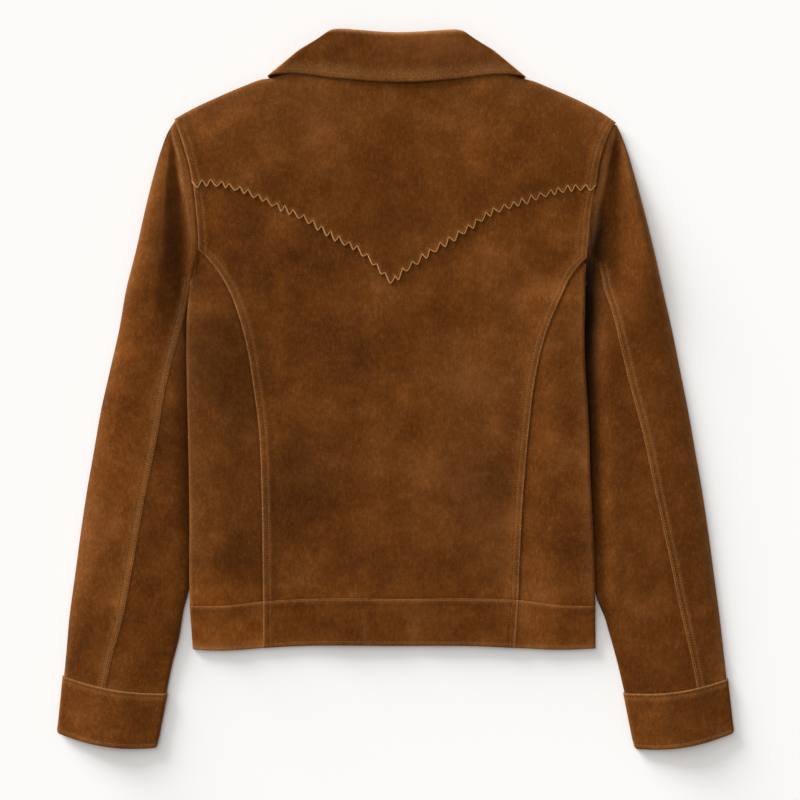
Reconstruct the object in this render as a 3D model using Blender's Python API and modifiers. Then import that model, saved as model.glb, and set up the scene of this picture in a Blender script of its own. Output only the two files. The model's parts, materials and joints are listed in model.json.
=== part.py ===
"""A short western suede jacket, laid flat with its front down.

Tables give places on the layout in millimetres right of and below its upper left corner. The model is in metres, with
the collar towards +Y, the back facing +Z, and the origin under the middle of the layout.
"""

import bmesh
import bpy
import numpy as np

MM = 0.001
TINY = 1e-12
SHEET_CENTRE = (395.5, 390.0)  # the layout's middle, right of and below its upper left corner

# Thickness of each layer, and the gap kept at seams.
WALL = 2.6
YOKE_WALL = 1.5
YOKE_GAP = 0.6
COLLAR_WALL = 2.2
BAND_PROUD = 0.5
GAP = 0.3
SEAM_GAP = 0.5  # where a seam runs along a fold, or round one
ARMHOLE_GAP = 0.8
TIP_GAP = 1.2  # more room where the side panel runs out into a narrow tip
TIP_END = 310.0
TIP_CLEAR = 2.0

# Heights of the flattened tubes, over both layers.
LIE = 9.0
EDGE = 6.6
CROWN = 45.0
TUCK_CLEAR = EDGE + GAP
LEAF_LIFT = COLLAR_WALL + 3 * GAP

SHOULDER = {"left": (175.5, 120.0), "right": (616.0, 124.0)}
UNDERARM = {"left": 286.0, "right": 272.0}
PRINCESS_TOP = {"left": 251.0, "right": 259.0}
OUTWARD = {"left": -1.0, "right": 1.0}

# down, across: the armhole seam on the body, then the folded side edge down to the hem.
BODY_EDGE = {
    "left": [
        (100, 170.0), (120, 175.5), (145, 184.0), (170, 191.0), (188, 194.0), (216, 197.0), (240, 198.6),
        (256, 197.6), (267, 194.5), (286, 190.0), (306, 188.0), (345, 187.0), (383, 187.4), (430, 188.5),
        (515, 190.0), (590, 190.0), (606, 190.3), (650, 192.7),
    ],
    "right": [
        (104, 620.0), (124, 616.0), (132, 609.5), (154, 600.0), (182, 594.6), (210, 589.5), (239, 587.5),
        (256, 586.6), (272, 585.8), (300, 584.8), (330, 584.0), (370, 585.0), (400, 587.0), (430, 588.7),
        (478, 590.0), (515, 592.0), (560, 594.0), (606, 595.0), (650, 595.7),
    ],
}
# down, across: the princess seam, from the armhole to the hem.
PRINCESS = {
    "left": [
        (248, 199.0), (258, 207.5), (267, 215.0), (287, 227.6), (319, 240.0), (351, 248.0), (383, 253.0),
        (421, 258.0), (500, 262.0), (580, 263.0), (602, 264.0), (650, 264.0),
    ],
    "right": [
        (256, 586.8), (264, 579.0), (273, 571.5), (297, 559.0), (330, 545.0), (380, 533.0), (430, 527.0),
        (500, 521.0), (560, 518.0), (601, 516.5), (650, 513.7),
    ],
}
# down, across: the outer fold of each sleeve, from the shoulder to the cuff seam.
SLEEVE_OUTER = {
    "left": [
        (120, 175.5), (130, 169.0), (150, 161.0), (170, 155.0), (210, 145.0), (250, 136.0), (290, 126.0),
        (330, 119.0), (370, 110.0), (410, 101.0), (450, 94.0), (490, 87.0), (530, 81.0), (575, 75.0),
        (620, 69.0), (655, 66.0), (680, 63.5),
    ],
    "right": [
        (124, 616.0), (130, 619.0), (150, 627.0), (170, 633.0), (210, 644.0), (250, 654.0), (290, 663.0),
        (330, 672.0), (370, 680.0), (410, 688.0), (450, 695.0), (490, 702.0), (530, 708.0), (575, 714.0),
        (620, 720.0), (655, 724.0), (682, 727.0),
    ],
}
# down, across: the inner fold of each sleeve. Its upper half is tucked under the body's side.
SLEEVE_INNER = {
    "left": [
        (286, 190.0), (306, 187.5), (326, 186.8), (350, 191.0), (390, 199.0), (440, 203.0), (500, 202.0),
        (550, 196.5), (580, 190.5), (592, 188.2), (608, 184.0), (638, 179.0), (665, 172.0), (695, 166.0),
    ],
    "right": [
        (272, 585.8), (300, 585.3), (325, 584.6), (350, 581.0), (390, 575.5), (440, 574.5), (500, 579.0),
        (545, 588.0), (570, 594.4), (582, 596.0), (600, 602.0), (628, 608.0), (665, 618.0), (695, 625.0),
    ],
}
# down, across: the seam between top sleeve and under sleeve.
SLEEVE_SEAM = {
    "left": [
        (240, 204.0), (255, 198.3), (262, 195.2), (268, 192.4), (290, 187.6), (319, 181.6), (358, 171.4),
        (389, 164.0), (430, 157.0), (503, 142.4), (557, 132.7), (619, 121.0), (660, 110.0), (690, 104.5),
    ],
    "right": [
        (236, 588.0), (255, 596.0), (269, 600.8), (289, 604.6), (309, 611.0), (345, 620.0), (383, 629.0),
        (430, 641.5), (501, 657.0), (557, 669.0), (620, 682.4), (662, 692.0), (690, 697.5),
    ],
}
CUFF_SEAM_OUTER = {"left": 675.5, "right": 678.4}  # how far down the seam meets the outer fold
CUFF_SEAM_INNER = {"left": 691.0, "right": 691.6}
CUFF_SEAM_BACK = {"left": 687.5, "right": 687.2}
# across, down: the corners of each cuff's open end, outer then inner.
CUFF_END = {
    "left": ((57.0, 732.5), (157.2, 747.5)),
    "right": ((734.0, 732.5), (634.0, 748.5)),
}
CUFF_END_SAG = 6.0
CUFF_STEP = 1.4  # the cuff is this much wider than the sleeve on each fold

# across, down: the shoulder folds and the back neckline between them, under the collar.
BACK_TOP = [
    (150, 134.0), (175.5, 120.0), (191, 111.0), (216, 99.3), (245, 87.2), (262, 81.0), (275, 79.0),
    (292, 70.0), (312, 60.0), (340, 68.0), (397, 73.0), (455, 68.0), (482, 60.0), (501, 70.0),
    (517, 79.0), (530, 81.8), (551, 90.0), (579, 102.0), (602, 114.2), (616, 124.0), (640, 137.0),
]
NECK_POINTS = (312.0, 482.0)
PAST_NECK = (316.5, 477.5)  # here the back and the fronts have parted
SHOULDER_SLANT = 0.91  # the cosine of the shoulders' slope
# across, down: the seam between back and hem band, and the hem.
BAND_SEAM = [
    (180, 606.0), (226, 605.7), (262, 602.0), (324, 598.5), (400, 598.6), (484, 598.4), (519, 599.8),
    (554, 604.0), (605, 605.5),
]
HEM = [
    (180, 648.0), (207, 650.3), (236, 650.0), (264, 647.8), (302, 645.9), (400, 645.8), (470, 645.9),
    (526, 648.3), (561, 649.7), (605, 647.8),
]
# across, down: the middle line of the yoke's pinked edge.
YOKE_EDGE = [
    (194, 186.0), (205, 183.5), (241, 190.0), (277, 206.0), (307, 220.0), (330, 235.0), (365, 255.0),
    (380, 270.0), (392, 281.0), (404, 271.0), (422, 258.0), (459, 234.5), (496, 210.5), (515, 204.5),
    (552, 192.5), (570, 188.5), (596, 188.0),
]
YOKE_TEETH = 46
TOOTH_DEPTH = 5.0

# The front neckline, the centre front and the collar's leaves, all on the underside.
CENTRE_FRONT = 394.0
FRONT_NECK = [
    (312, 60.0), (330, 86.0), (355, 110.0), (393, 128.0), (432, 110.0), (460, 86.0), (482, 60.0),
]
COLLAR_TOP = [(325, 29.0), (340, 29.6), (398, 33.3), (450, 30.6), (468, 29.5)]
COLLAR_EDGE = [
    (267.6, 75.2), (287, 73.0), (340, 78.5), (403, 82.0), (455, 78.8), (503, 73.6), (525.6, 76.0),
]
LEAF_ROLL_END = {"left": (386.0, 106.0), "right": (402.0, 106.0)}
LEAF_POINT = {"left": (322.0, 160.0), "right": (466.0, 160.0)}
LEAF_ZONE = (262.0, 530.0, 168.0)  # the leaves lie between these places across, and above this one
LEAF_FADE = 70.0

FRONT_COLUMNS = np.array([0.05, 0.09, 0.21, 0.34, 0.5, 0.61, 0.641, 0.72, 0.81, 0.905, 1.0])
FRONT_SCOOP = 12.0  # how much further in the front armhole is than the back's
SLEEVE_ROWS = 24
SLEEVE_START = 2.5  # the sleeve's first row is this far below the shoulder point
SEAM_START = {"left": 262.0, "right": 238.0}  # how far down the back seam meets the armhole

# The collar: its depth, the rounding of its top edge and of its folds at the sides of the neck.
COLLAR_DEPTH = 45.0
RIM_RADIUS = COLLAR_WALL + GAP / 2
FALL_FOLD = 6.0
STAND_FOLD = 4.0
STAND_INSET = 3.4
NECK_SEAT = 30.0

SUEDE = (0.235, 0.115, 0.045, 1.0)
COLLECTION = "suede_jacket"


def along(table, at):
    """Smooth values at places along a table of (place, value) rows."""
    place, value = np.array(table, float).T
    at = np.asarray(at, float)
    slope = np.gradient(value, place)
    k = np.clip(np.searchsorted(place, at) - 1, 0, len(place) - 2)
    step = place[k + 1] - place[k]
    s = np.clip((at - place[k]) / step, 0, 1)
    near = (1 + 2 * s) * (1 - s) ** 2 * value[k] + s * (1 - s) ** 2 * step * slope[k]
    far = s**2 * (3 - 2 * s) * value[k + 1] + s**2 * (s - 1) * step * slope[k + 1]
    return near + far


def rise(at, start, end):
    """0 before start, 1 after end, smooth between them."""
    s = np.clip((at - start) / (end - start), 0, 1)
    return s * s * (3 - 2 * s)


def roll(distance, radius):
    """How much of its full height a rounded fold has reached, this far inside the fold."""
    s = np.clip(distance / radius, 0, 1)
    return np.sqrt(1 - (1 - s) ** 2)


def fold_steps(radius, angles):
    """Distances inside a fold that sample its rounding evenly."""
    return radius * (1 - np.cos(np.radians(angles)))


def inside(side, x, y):
    """How far a place is inside the body's edge on one side. Negative is out over the sleeve."""
    return (along(BODY_EDGE[side], y) - x) * OUTWARD[side]


def shoulder_distance(x, y):
    """How far a place is from the nearest stretch of shoulder fold."""
    from_neck = np.clip(np.minimum(x - NECK_POINTS[0], NECK_POINTS[1] - x), 0, None)
    return np.hypot(SHOULDER_SLANT * np.clip(y - along(BACK_TOP, x), 0, None), from_neck)


def side_distance(side, x, y):
    """How far a place is from the side fold, which starts at the underarm."""
    return np.hypot(np.clip(inside(side, x, y), 0, None), np.clip(UNDERARM[side] - y, 0, None))


def fold_distance(x, y):
    """How far a place on the body is from the nearest fold."""
    nearest = shoulder_distance(x, y)
    for side in OUTWARD:
        nearest = np.minimum(nearest, side_distance(side, x, y))
    return nearest


def body_low(x, y):
    """The body's underside: it rises over the tucked sleeves and over the collar's leaves."""
    left, right, bottom = LEAF_ZONE
    low = LEAF_LIFT * rise(x, left - LEAF_FADE, left) * (1 - rise(x, right, right + LEAF_FADE))
    low = low * (1 - rise(y, bottom, bottom + LEAF_FADE))
    for side in OUTWARD:
        start = UNDERARM[side]
        over_sleeve = rise(y, start, start + 36) * (1 - rise(y, 596, 645))
        low = low + TUCK_CLEAR * over_sleeve * (1 - rise(inside(side, x, y), 21, 75))
    return low


def body_thickness(x, y):
    """The height of both layers of the body with the air between them."""
    crown = rise(fold_distance(x, y), 0, CROWN) * rise(650 - y, -20, CROWN)
    return EDGE + (LIE - EDGE) * crown


def body_top(x, y):
    middle = body_low(x, y) + EDGE / 2
    high = body_low(x, y) + body_thickness(x, y)
    return middle + (high - middle) * roll(fold_distance(x, y), EDGE / 2)


def body_bottom(x, y):
    low = body_low(x, y)
    return low + EDGE / 2 * (1 - roll(fold_distance(x, y), EDGE / 2))


def grid(x, y, z):
    """Places on the layout and heights, all in millimetres, as an array of model points."""
    x, y, z = np.broadcast_arrays(x, y, z)
    return np.stack([x - SHEET_CENTRE[0], SHEET_CENTRE[1] - y, z], axis=-1) * MM


def normals(points):
    """Unit normals of a grid of points, taken from the directions of its rows and columns."""
    normal = np.cross(np.gradient(points, axis=1), np.gradient(points, axis=0))
    return normal / np.maximum(np.linalg.norm(normal, axis=-1, keepdims=True), TINY)


def faced(points, column, way):
    """The grid in the column order whose normals point up (1) or down (-1) along one column."""
    return points if normals(points)[:, column, 2].sum() * way > 0 else points[:, ::-1]


def suede(name):
    material = bpy.data.materials.new(name)
    material.use_nodes = True
    shader = material.node_tree.nodes["Principled BSDF"]
    shader.inputs["Base Color"].default_value = SUEDE
    shader.inputs["Roughness"].default_value = 0.95
    shader.inputs["Metallic"].default_value = 0.0
    material.diffuse_color = SUEDE
    return material


def panel(name, points, wall, column, way=1, closed=False):
    """A piece of suede: a grid of its outer points, thickened inwards.

    Its outer side faces up (way 1) or down (way -1) at the column. A closed piece joins its last column to its first.
    """
    points = faced(points, column, way)
    rows, columns = points.shape[:2]
    index = np.arange(rows * columns).reshape(rows, columns)
    if closed:
        index = np.concatenate([index, index[:, :1]], axis=1)
    corners = [index[:-1, :-1], index[:-1, 1:], index[1:, 1:], index[1:, :-1]]
    faces = np.stack(corners, axis=-1).reshape(-1, 4)
    mesh = bpy.data.meshes.new(name)
    mesh.from_pydata(points.reshape(-1, 3).tolist(), [], faces.tolist())
    mesh.materials.append(suede(name))
    mesh.shade_smooth()
    piece = bpy.data.objects.new(name, mesh)
    bpy.data.collections[COLLECTION].objects.link(piece)
    shell = piece.modifiers.new("wall", "SOLIDIFY")
    shell.thickness = wall * MM
    shell.offset = -1.0
    shell.use_quality_normals = True
    return piece


def spread(start, end, count):
    return np.linspace(start, end, count)


def between(a, b, s):
    return a * (1 - s) + b * s


FOLD_ANGLES = [0.0, 0.0, 35.0, 62.0, 90.0]
FOLD_FEET = [0.35, 0.7]  # how far the first two rows of a seam on a fold stand off its middle
FLAT_STEP = 0.3  # how far apart they stand where the edge lies flat, away from the fold
SIDE_ROWS = 18
ROLL_SHARES = fold_steps(EDGE / 2, FOLD_ANGLES)


def fold_feet(shape, end, axis=1):
    """How far each point of a panel stands off the middle of the fold at its first (0) or last (-1) edge."""
    feet = np.zeros(shape)
    view = feet if axis == 1 else feet.T
    first, second = (0, 1) if end == 0 else (-1, -2)
    view[:, first], view[:, second] = FOLD_FEET
    return feet


def shoulder_end(x, y):
    """Ends rows at the shoulders and neckline: places down, and how far each point stands off the fold."""
    on_fold = shoulder_distance(x, y) < EDGE / 2
    y = y.copy()
    y[-2] += FLAT_STEP * ~on_fold[-2]
    return y, fold_feet(x.shape, -1, axis=0) * on_fold


def held(side, y):
    """1 where an edge lies on the side fold, falling to 0 just above the underarm."""
    return 1 - roll(UNDERARM[side] - y, EDGE / 2)


def row_shares(side):
    """Shares of the way up from the band seam to the top of the princess seam. One row meets the underarm."""
    seam = along(BAND_SEAM, 225.0) - SEAM_GAP / 2
    underarm = (seam - UNDERARM[side]) / (seam - PRINCESS_TOP[side])
    return np.concatenate([spread(0, underarm, SIDE_ROWS), between(underarm, 1.0, np.array([0.5, 1.0]))])


def back_side(side):
    """A side back panel, from the princess seam to the side seam on the fold."""
    out = OUTWARD[side]
    share = row_shares(side)[:, None]
    y = between(along(BAND_SEAM, 225.0) - SEAM_GAP / 2, PRINCESS_TOP[side], share)
    edge = along(BODY_EDGE[side], y)
    seam = along(PRINCESS[side], y) + out * (SEAM_GAP / 2 + TIP_GAP * rise(-y, -TIP_END, -PRINCESS_TOP[side]))
    width = np.abs(edge - seam)
    rolled = np.minimum(ROLL_SHARES[None, :], width * spread(0, 0.9, len(FOLD_ANGLES)))
    flat = between(rolled[:, -1:], width, spread(0, 1, 5)[None, 1:])
    distance = np.concatenate([rolled, flat], axis=1)
    x = edge - out * distance
    y = between(along(BAND_SEAM, x) - SEAM_GAP / 2, PRINCESS_TOP[side], share)
    points = grid(x, y, body_top(x, y) + fold_feet(x.shape, 0))
    return panel(f"back_side_{side}", points, WALL, -2)


def back_points(columns, flat):
    """The centre back's outer points: lower rows between the princess seams, upper rows between the armholes."""
    rows = []
    top = between(PRINCESS_TOP["left"], PRINCESS_TOP["right"], columns)
    for shares in zip(row_shares("left")[:-1], row_shares("right")[:-1]):
        ends = []
        for side, share in zip(OUTWARD, shares):
            level = between(along(BAND_SEAM, 225.0) - SEAM_GAP / 2, PRINCESS_TOP[side], share)
            ends.append(along(PRINCESS[side], level) - OUTWARD[side] * SEAM_GAP / 2)
        x = between(ends[0], ends[1], columns)
        share = between(shares[0], shares[1], columns)
        rows.append((x, between(along(BAND_SEAM, x) - SEAM_GAP / 2, top, share)))
    rows += upper_rows(columns, top - TIP_CLEAR, flat)
    return np.array(rows).transpose(1, 0, 2)


def upper_rows(columns, base, flat):
    """Rows from a line up to the shoulders and the back neckline. base is how far down each column starts.

    The last rows round the fold.
    """
    top_x = between(SHOULDER["left"][0] + 0.2, SHOULDER["right"][0] - 0.2, columns)
    top_y = along(BACK_TOP, top_x)
    drops = fold_steps(EDGE / 2, FOLD_ANGLES[::-1]) / SHOULDER_SLANT
    steps = [(share, CROWN) for share in spread(0, 1, flat)[:-1]]
    steps += [(1.0, drop) for drop in (CROWN, CROWN / 2, *drops)]
    rows = []
    for share, drop in steps:
        y = between(base, top_y + drop, share)
        left, right = (along(BODY_EDGE[side], end) for side, end in zip(OUTWARD, y[[0, -1]]))
        rows.append((between(left + SEAM_GAP / 2, right - SEAM_GAP / 2, columns), y))
    return rows


def rolled_shares(length, radius, flat):
    """Shares along a length that ends in a fold, with the fold's rounding sampled at its end."""
    rounded = 1 - fold_steps(radius, FOLD_ANGLES[::-1]) / length
    return np.concatenate([spread(0, rounded[0], flat)[:-1], rounded])


def shoulder_share(x):
    """Places across as shares of the way from the left shoulder point to the right one."""
    return (np.array(x) - SHOULDER["left"][0]) / (SHOULDER["right"][0] - SHOULDER["left"][0])


def columns_at(places, count):
    """Even shares across the shoulders, with the nearest ones moved to given places across."""
    columns = spread(0, 1, count)
    for share in shoulder_share(places):
        columns[np.abs(columns - share).argmin()] = share
    return columns


def back_centre():
    columns = np.sort(np.append(columns_at(NECK_POINTS, 14), shoulder_share(PAST_NECK)))
    x, y = back_points(columns, 6)
    y, feet = shoulder_end(x, y)
    return panel("back_centre", grid(x, y, body_top(x, y) + feet), WALL, 7)


def front_armhole(side, y):
    """The armhole seam on the underside, scooped further into the front than the back's."""
    share = np.clip((y - SHOULDER[side][1]) / (UNDERARM[side] - SHOULDER[side][1]), 0, 1)
    return along(BODY_EDGE[side], y) - OUTWARD[side] * FRONT_SCOOP * 4 * share * (1 - share)


def front_top(x):
    """The shoulder seams and, between the neck points, the front neckline."""
    neck = (x > NECK_POINTS[0]) & (x < NECK_POINTS[1])
    return np.where(neck, along(FRONT_NECK, x), along(BACK_TOP, x))


def front_columns(edge, centre, out):
    """Places across one row of a front: the side fold's rounding, then shares of the way to the centre front."""
    rounded = edge - out * ROLL_SHARES
    return np.concatenate([rounded, between(rounded[-1], centre, FRONT_COLUMNS)])


def front(side):
    """A front, from the side seam to the centre front, with its outer side on the surface below it."""
    out = OUTWARD[side]
    centre = CENTRE_FRONT + out * GAP
    x, y = [], []
    for share in spread(0, 1, SIDE_ROWS)[:-1]:
        level = between(along(BAND_SEAM, 225.0) - SEAM_GAP / 2, UNDERARM[side], share)
        x.append(front_columns(along(BODY_EDGE[side], level), centre, out))
        y.append(between(along(BAND_SEAM, x[-1]) - SEAM_GAP / 2, UNDERARM[side], share))
    top_x = front_columns(SHOULDER[side][0], centre, out)
    for share in rolled_shares(UNDERARM[side] - SHOULDER[side][1], EDGE / 2, 8):
        level = between(UNDERARM[side], SHOULDER[side][1], share)
        x.append(front_columns(front_armhole(side, level) - out * GAP, centre, out))
        y.append(between(UNDERARM[side], front_top(top_x), share))
    x, y = np.array(x), np.array(y)
    on_fold = held(side, y)
    x[:, 1] -= out * FLAT_STEP * (1 - on_fold[:, 1])
    y, feet = shoulder_end(x, y)
    z = body_bottom(x, y) - fold_feet(x.shape, 0) * on_fold - feet
    return panel(f"front_{side}", grid(x, y, z), WALL, -2, way=-1)


def inner_edge(side, y, face):
    """A sleeve's inner edge: the armhole seam down to the underarm, then the inner fold."""
    armhole = along(BODY_EDGE[side], y) if face > 0 else front_armhole(side, y)
    edge = np.where(y < UNDERARM[side], armhole, along(SLEEVE_INNER[side], y))
    return edge + OUTWARD[side] * ARMHOLE_GAP * (1 if face > 0 else 2 - held(side, y))


def sleeve_distances(side, x, y):
    """How far a place on a sleeve is from its outer fold and from its inner one, below the underarm."""
    outer = np.clip((along(SLEEVE_OUTER[side], y) - x) * OUTWARD[side], 0, None)
    inner = np.clip((x - along(SLEEVE_INNER[side], np.maximum(y, UNDERARM[side]))) * OUTWARD[side], 0, None)
    return outer, np.hypot(inner, np.clip(UNDERARM[side] - y, 0, None))


def sleeve_height(side, x, y, face):
    """The height of a sleeve's outer side: on top a ridge at the armhole, a valley beside it, and a crown."""
    outer, inner = sleeve_distances(side, x, y)
    over = -inside(side, x, y)
    ridge = EDGE + (LIE - EDGE) * rise(UNDERARM[side] - y, 0, CROWN)
    beside = between(ridge, EDGE, rise(over, 7, 18))
    high = between(beside, LIE, rise(over, 22, 60) * rise(inner, 0, 25))
    high = EDGE + (high - EDGE) * rise(outer, 0, CROWN)
    half = high - EDGE / 2 if face > 0 else EDGE / 2
    return EDGE / 2 + face * half * roll(np.minimum(outer, inner), EDGE / 2)


def sleeve_rows(side, start):
    """The rows of a sleeve panel: how far down its outer fold, its back seam and its inner edge each row is."""
    shares = spread(0, 1, SLEEVE_ROWS)[:, None] ** 1.15
    first = SHOULDER[side][1] + SLEEVE_START
    outer = between(first, CUFF_SEAM_OUTER[side] - SEAM_GAP / 2, shares)
    seam = between(first, CUFF_SEAM_BACK[side] - SEAM_GAP / 2, shares)
    inner = between(first, CUFF_SEAM_INNER[side] - SEAM_GAP / 2, shares)
    kept = seam[:, 0] >= start
    return outer[kept], seam[kept], inner[kept]


def top_sleeve(side):
    """The top sleeve: from the armhole and back seam, over the outer fold, and beneath to the inner fold."""
    out = OUTWARD[side]
    outer, seam, inner = sleeve_rows(side, 0)
    fold_x = along(SLEEVE_OUTER[side], outer)
    armhole_x = inner_edge(side, seam, 1)
    seam_x = along(SLEEVE_SEAM[side], seam) + out * GAP / 2
    outermost = out * np.maximum(out * seam_x, out * armhole_x)
    start_x = np.where(seam < SEAM_START[side], armhole_x, outermost)
    width = np.abs(fold_x - start_x)
    rounded = np.minimum(ROLL_SHARES, width * spread(0, 0.9, len(ROLL_SHARES)))
    flat = between(width, rounded[:, -1:], spread(0, 1, 6)[None, :-1])
    top = np.concatenate([flat, rounded[:, :0:-1]], axis=1)
    x_top = fold_x - out * top
    y_top = between(outer, seam, top / width)
    z_top = sleeve_height(side, x_top, y_top, 1)
    end_x = inner_edge(side, inner, -1)
    under_width = np.abs(fold_x - end_x)
    rounded = np.minimum(ROLL_SHARES, under_width * spread(0, 0.4, len(ROLL_SHARES)))
    middle = between(rounded[:, -1:], under_width - rounded[:, -1:], spread(0, 1, 5)[None, 1:-1])
    on_fold = held(side, inner)
    under = np.concatenate([rounded[:, 2:], middle, under_width - rounded[:, ::-1]], axis=1)
    under[:, -2:-1] -= FLAT_STEP * (1 - on_fold)
    x_under = fold_x - out * under
    y_under = between(outer, inner, under / under_width)
    z_under = sleeve_height(side, x_under, y_under, -1)
    z_under = z_under - fold_feet(z_under.shape, -1) * on_fold
    top = grid(x_top, y_top, z_top)
    under = grid(x_under, y_under, z_under)
    return panel(f"sleeve_upper_{side}", np.concatenate([top, under], axis=1), WALL, 1)


def under_sleeve(side):
    """The under sleeve: on top, from the back seam to the inner fold."""
    out = OUTWARD[side]
    _, seam, inner = sleeve_rows(side, SEAM_START[side] + 6)
    seam_x = along(SLEEVE_SEAM[side], seam) - out * GAP / 2
    end_x = inner_edge(side, inner, 1)
    width = np.abs(seam_x - end_x)
    rounded = np.minimum(ROLL_SHARES, width * spread(0, 0.9, len(ROLL_SHARES)))
    flat = between(width, rounded[:, -1:], spread(0, 1, 5)[None, :-1])
    places = np.concatenate([flat, rounded[:, ::-1]], axis=1)
    on_fold = held(side, inner)
    places[:, -2:-1] += FLAT_STEP * (1 - on_fold)
    x = end_x + out * places
    y = between(inner, seam, places / width)
    z = sleeve_height(side, x, y, 1)
    z = z + fold_feet(z.shape, -1) * on_fold
    return panel(f"sleeve_under_{side}", grid(x, y, z), WALL, 1)


def cuff(side):
    """A cuff: a closed ring from the sleeve's end to its own open end."""
    out = OUTWARD[side]
    half = EDGE / 2 + BAND_PROUD
    seam_y = np.array([CUFF_SEAM_INNER[side], CUFF_SEAM_BACK[side], CUFF_SEAM_OUTER[side]]) + SEAM_GAP / 2
    rails = (SLEEVE_INNER[side], SLEEVE_SEAM[side], SLEEVE_OUTER[side])
    seam_x = np.array([along(rail, y) for rail, y in zip(rails, seam_y)])
    seam_x = seam_x + out * CUFF_STEP * np.array([-1, 0, 1])
    outer_end, inner_end = (np.array(corner) for corner in CUFF_END[side])
    rows = []
    for share in spread(0, 1, 4):
        first = between(np.array([seam_x[0], seam_y[0]]), inner_end, share)
        last = between(np.array([seam_x[2], seam_y[2]]), outer_end, share)
        length = np.hypot(*(last - first))
        turn = (seam_x[1] - seam_x[0]) / (seam_x[2] - seam_x[0]) * length
        flat = np.concatenate([spread(half, turn, 5)[1:], spread(turn, length - half, 4)[1:-1]])
        places = np.concatenate([fold_steps(half, [0, 40, 90]), flat, length - fold_steps(half, [90, 40, 0])])
        row = []
        for face, at in ((1, places), (-1, places[-2:0:-1])):
            x = between(first[0], last[0], at / length)
            y = between(first[1], last[1], at / length)
            straight = between(seam_y[0], seam_y[2], at / length)
            bent = np.interp(at, [0, turn, length], seam_y) if face > 0 else straight
            sag = CUFF_END_SAG * 4 * at / length * (1 - at / length)
            y = y + between(bent - straight, sag, share)
            near = np.minimum(at, length - at)
            crown = rise(near, 0, 30) * (LIE - EDGE) * (face > 0)
            row.append(grid(x, y, half + face * (half + crown) * roll(near, half)))
        rows.append(np.concatenate(row))
    return panel(f"cuff_{side}", np.array(rows), WALL + BAND_PROUD, 5, closed=True)


def band_rows(x):
    """Places down for the rows of the hem band."""
    return between(along(BAND_SEAM, x) + SEAM_GAP / 2, along(HEM, x), spread(0, 1, 4)[:, None])


def raised(points, distance):
    """A grid of points on the upper side, moved out along its normals."""
    normal = normals(points)
    return points + normal * np.sign(normal[..., 2].sum()) * distance * MM


def band_back(name, left, right, columns, folded):
    """A stretch of the back's hem band. left and right give its ends, and folded is the end on a fold."""
    y = band_rows(np.full(len(columns), SHEET_CENTRE[0]))
    for _ in range(3):
        x = between(left(y[:, :1]), right(y[:, -1:]), columns[None, :])
        y = band_rows(x)
    feet = 0 if folded is None else fold_feet(x.shape, folded)
    points = grid(x, y, body_top(x, y) + feet)
    return panel(name, raised(points, BAND_PROUD), WALL + BAND_PROUD, 5)


def band_pieces():
    def seam(side, shift):
        return lambda y: along(PRINCESS[side], y) + OUTWARD[side] * shift
    def edge(side):
        return lambda y: along(BODY_EDGE[side], y)
    band_back("band_back_centre", seam("left", -GAP / 2), seam("right", -GAP / 2), spread(0, 1, 9), None)
    rounded = np.concatenate([ROLL_SHARES / 72.0, spread(0.1, 1, 5)])
    band_back("band_side_left", edge("left"), seam("left", GAP / 2), rounded, 0)
    band_back("band_side_right", seam("right", GAP / 2), edge("right"), 1 - rounded[::-1], -1)
    for side in OUTWARD:
        band_front(side)


def band_front(side):
    """The hem band of a front, from the side seam to the centre front."""
    out = OUTWARD[side]
    ends = []
    for level in (BAND_SEAM[0][1], HEM[0][1]):
        ends.append(front_columns(along(BODY_EDGE[side], level), CENTRE_FRONT + out * GAP, out))
    x = between(ends[0], ends[1], spread(0, 1, 4)[:, None])
    y = band_rows(x)
    points = grid(x, y, body_bottom(x, y) - fold_feet(x.shape, 0))
    return panel(f"band_front_{side}", points, WALL + BAND_PROUD, -2, way=-1)


def yoke():
    """The yoke, laid on the centre back: its lower edge is cut in teeth."""
    columns = columns_at(NECK_POINTS + PAST_NECK, YOKE_TEETH + 1)
    low_x = between(YOKE_EDGE[0][0] + 0.2, YOKE_EDGE[-1][0] - 1.6, columns)
    notches = along(YOKE_EDGE, low_x) - TOOTH_DEPTH / 2
    x, y = np.array(upper_rows(columns, notches, 4)).transpose(1, 0, 2)
    y, feet = shoulder_end(x, y)
    points = raised(grid(x, y, body_top(x, y) + feet), YOKE_WALL + YOKE_GAP)
    piece = panel("back_yoke", points, YOKE_WALL, YOKE_TEETH // 2)
    add_teeth(piece, points[0])


def add_teeth(piece, edge):
    """Adds a triangular tooth below each stretch of a piece's first row of points."""
    tips = (edge[:-1] + edge[1:]) / 2 - np.array([0, TOOTH_DEPTH * MM, 0])
    shape = bmesh.new()
    shape.from_mesh(piece.data)
    shape.verts.ensure_lookup_table()
    row = [shape.verts[k] for k in range(len(edge))]
    for left, right, tip in zip(row, row[1:], tips):
        shape.faces.new((left, shape.verts.new(tip), right))
    bmesh.ops.recalc_face_normals(shape, faces=shape.faces)
    if shape.faces[0].normal.z < 0:
        bmesh.ops.reverse_faces(shape, faces=shape.faces)
    shape.to_mesh(piece.data)
    shape.free()


def seat_height(x, y):
    """The height of the yoke's outer side where the collar lies, carried on past the neckline."""
    seat = np.maximum(y, along(BACK_TOP, x) + NECK_SEAT)
    return body_low(x, seat) + body_thickness(x, seat) + YOKE_WALL + GAP


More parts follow.
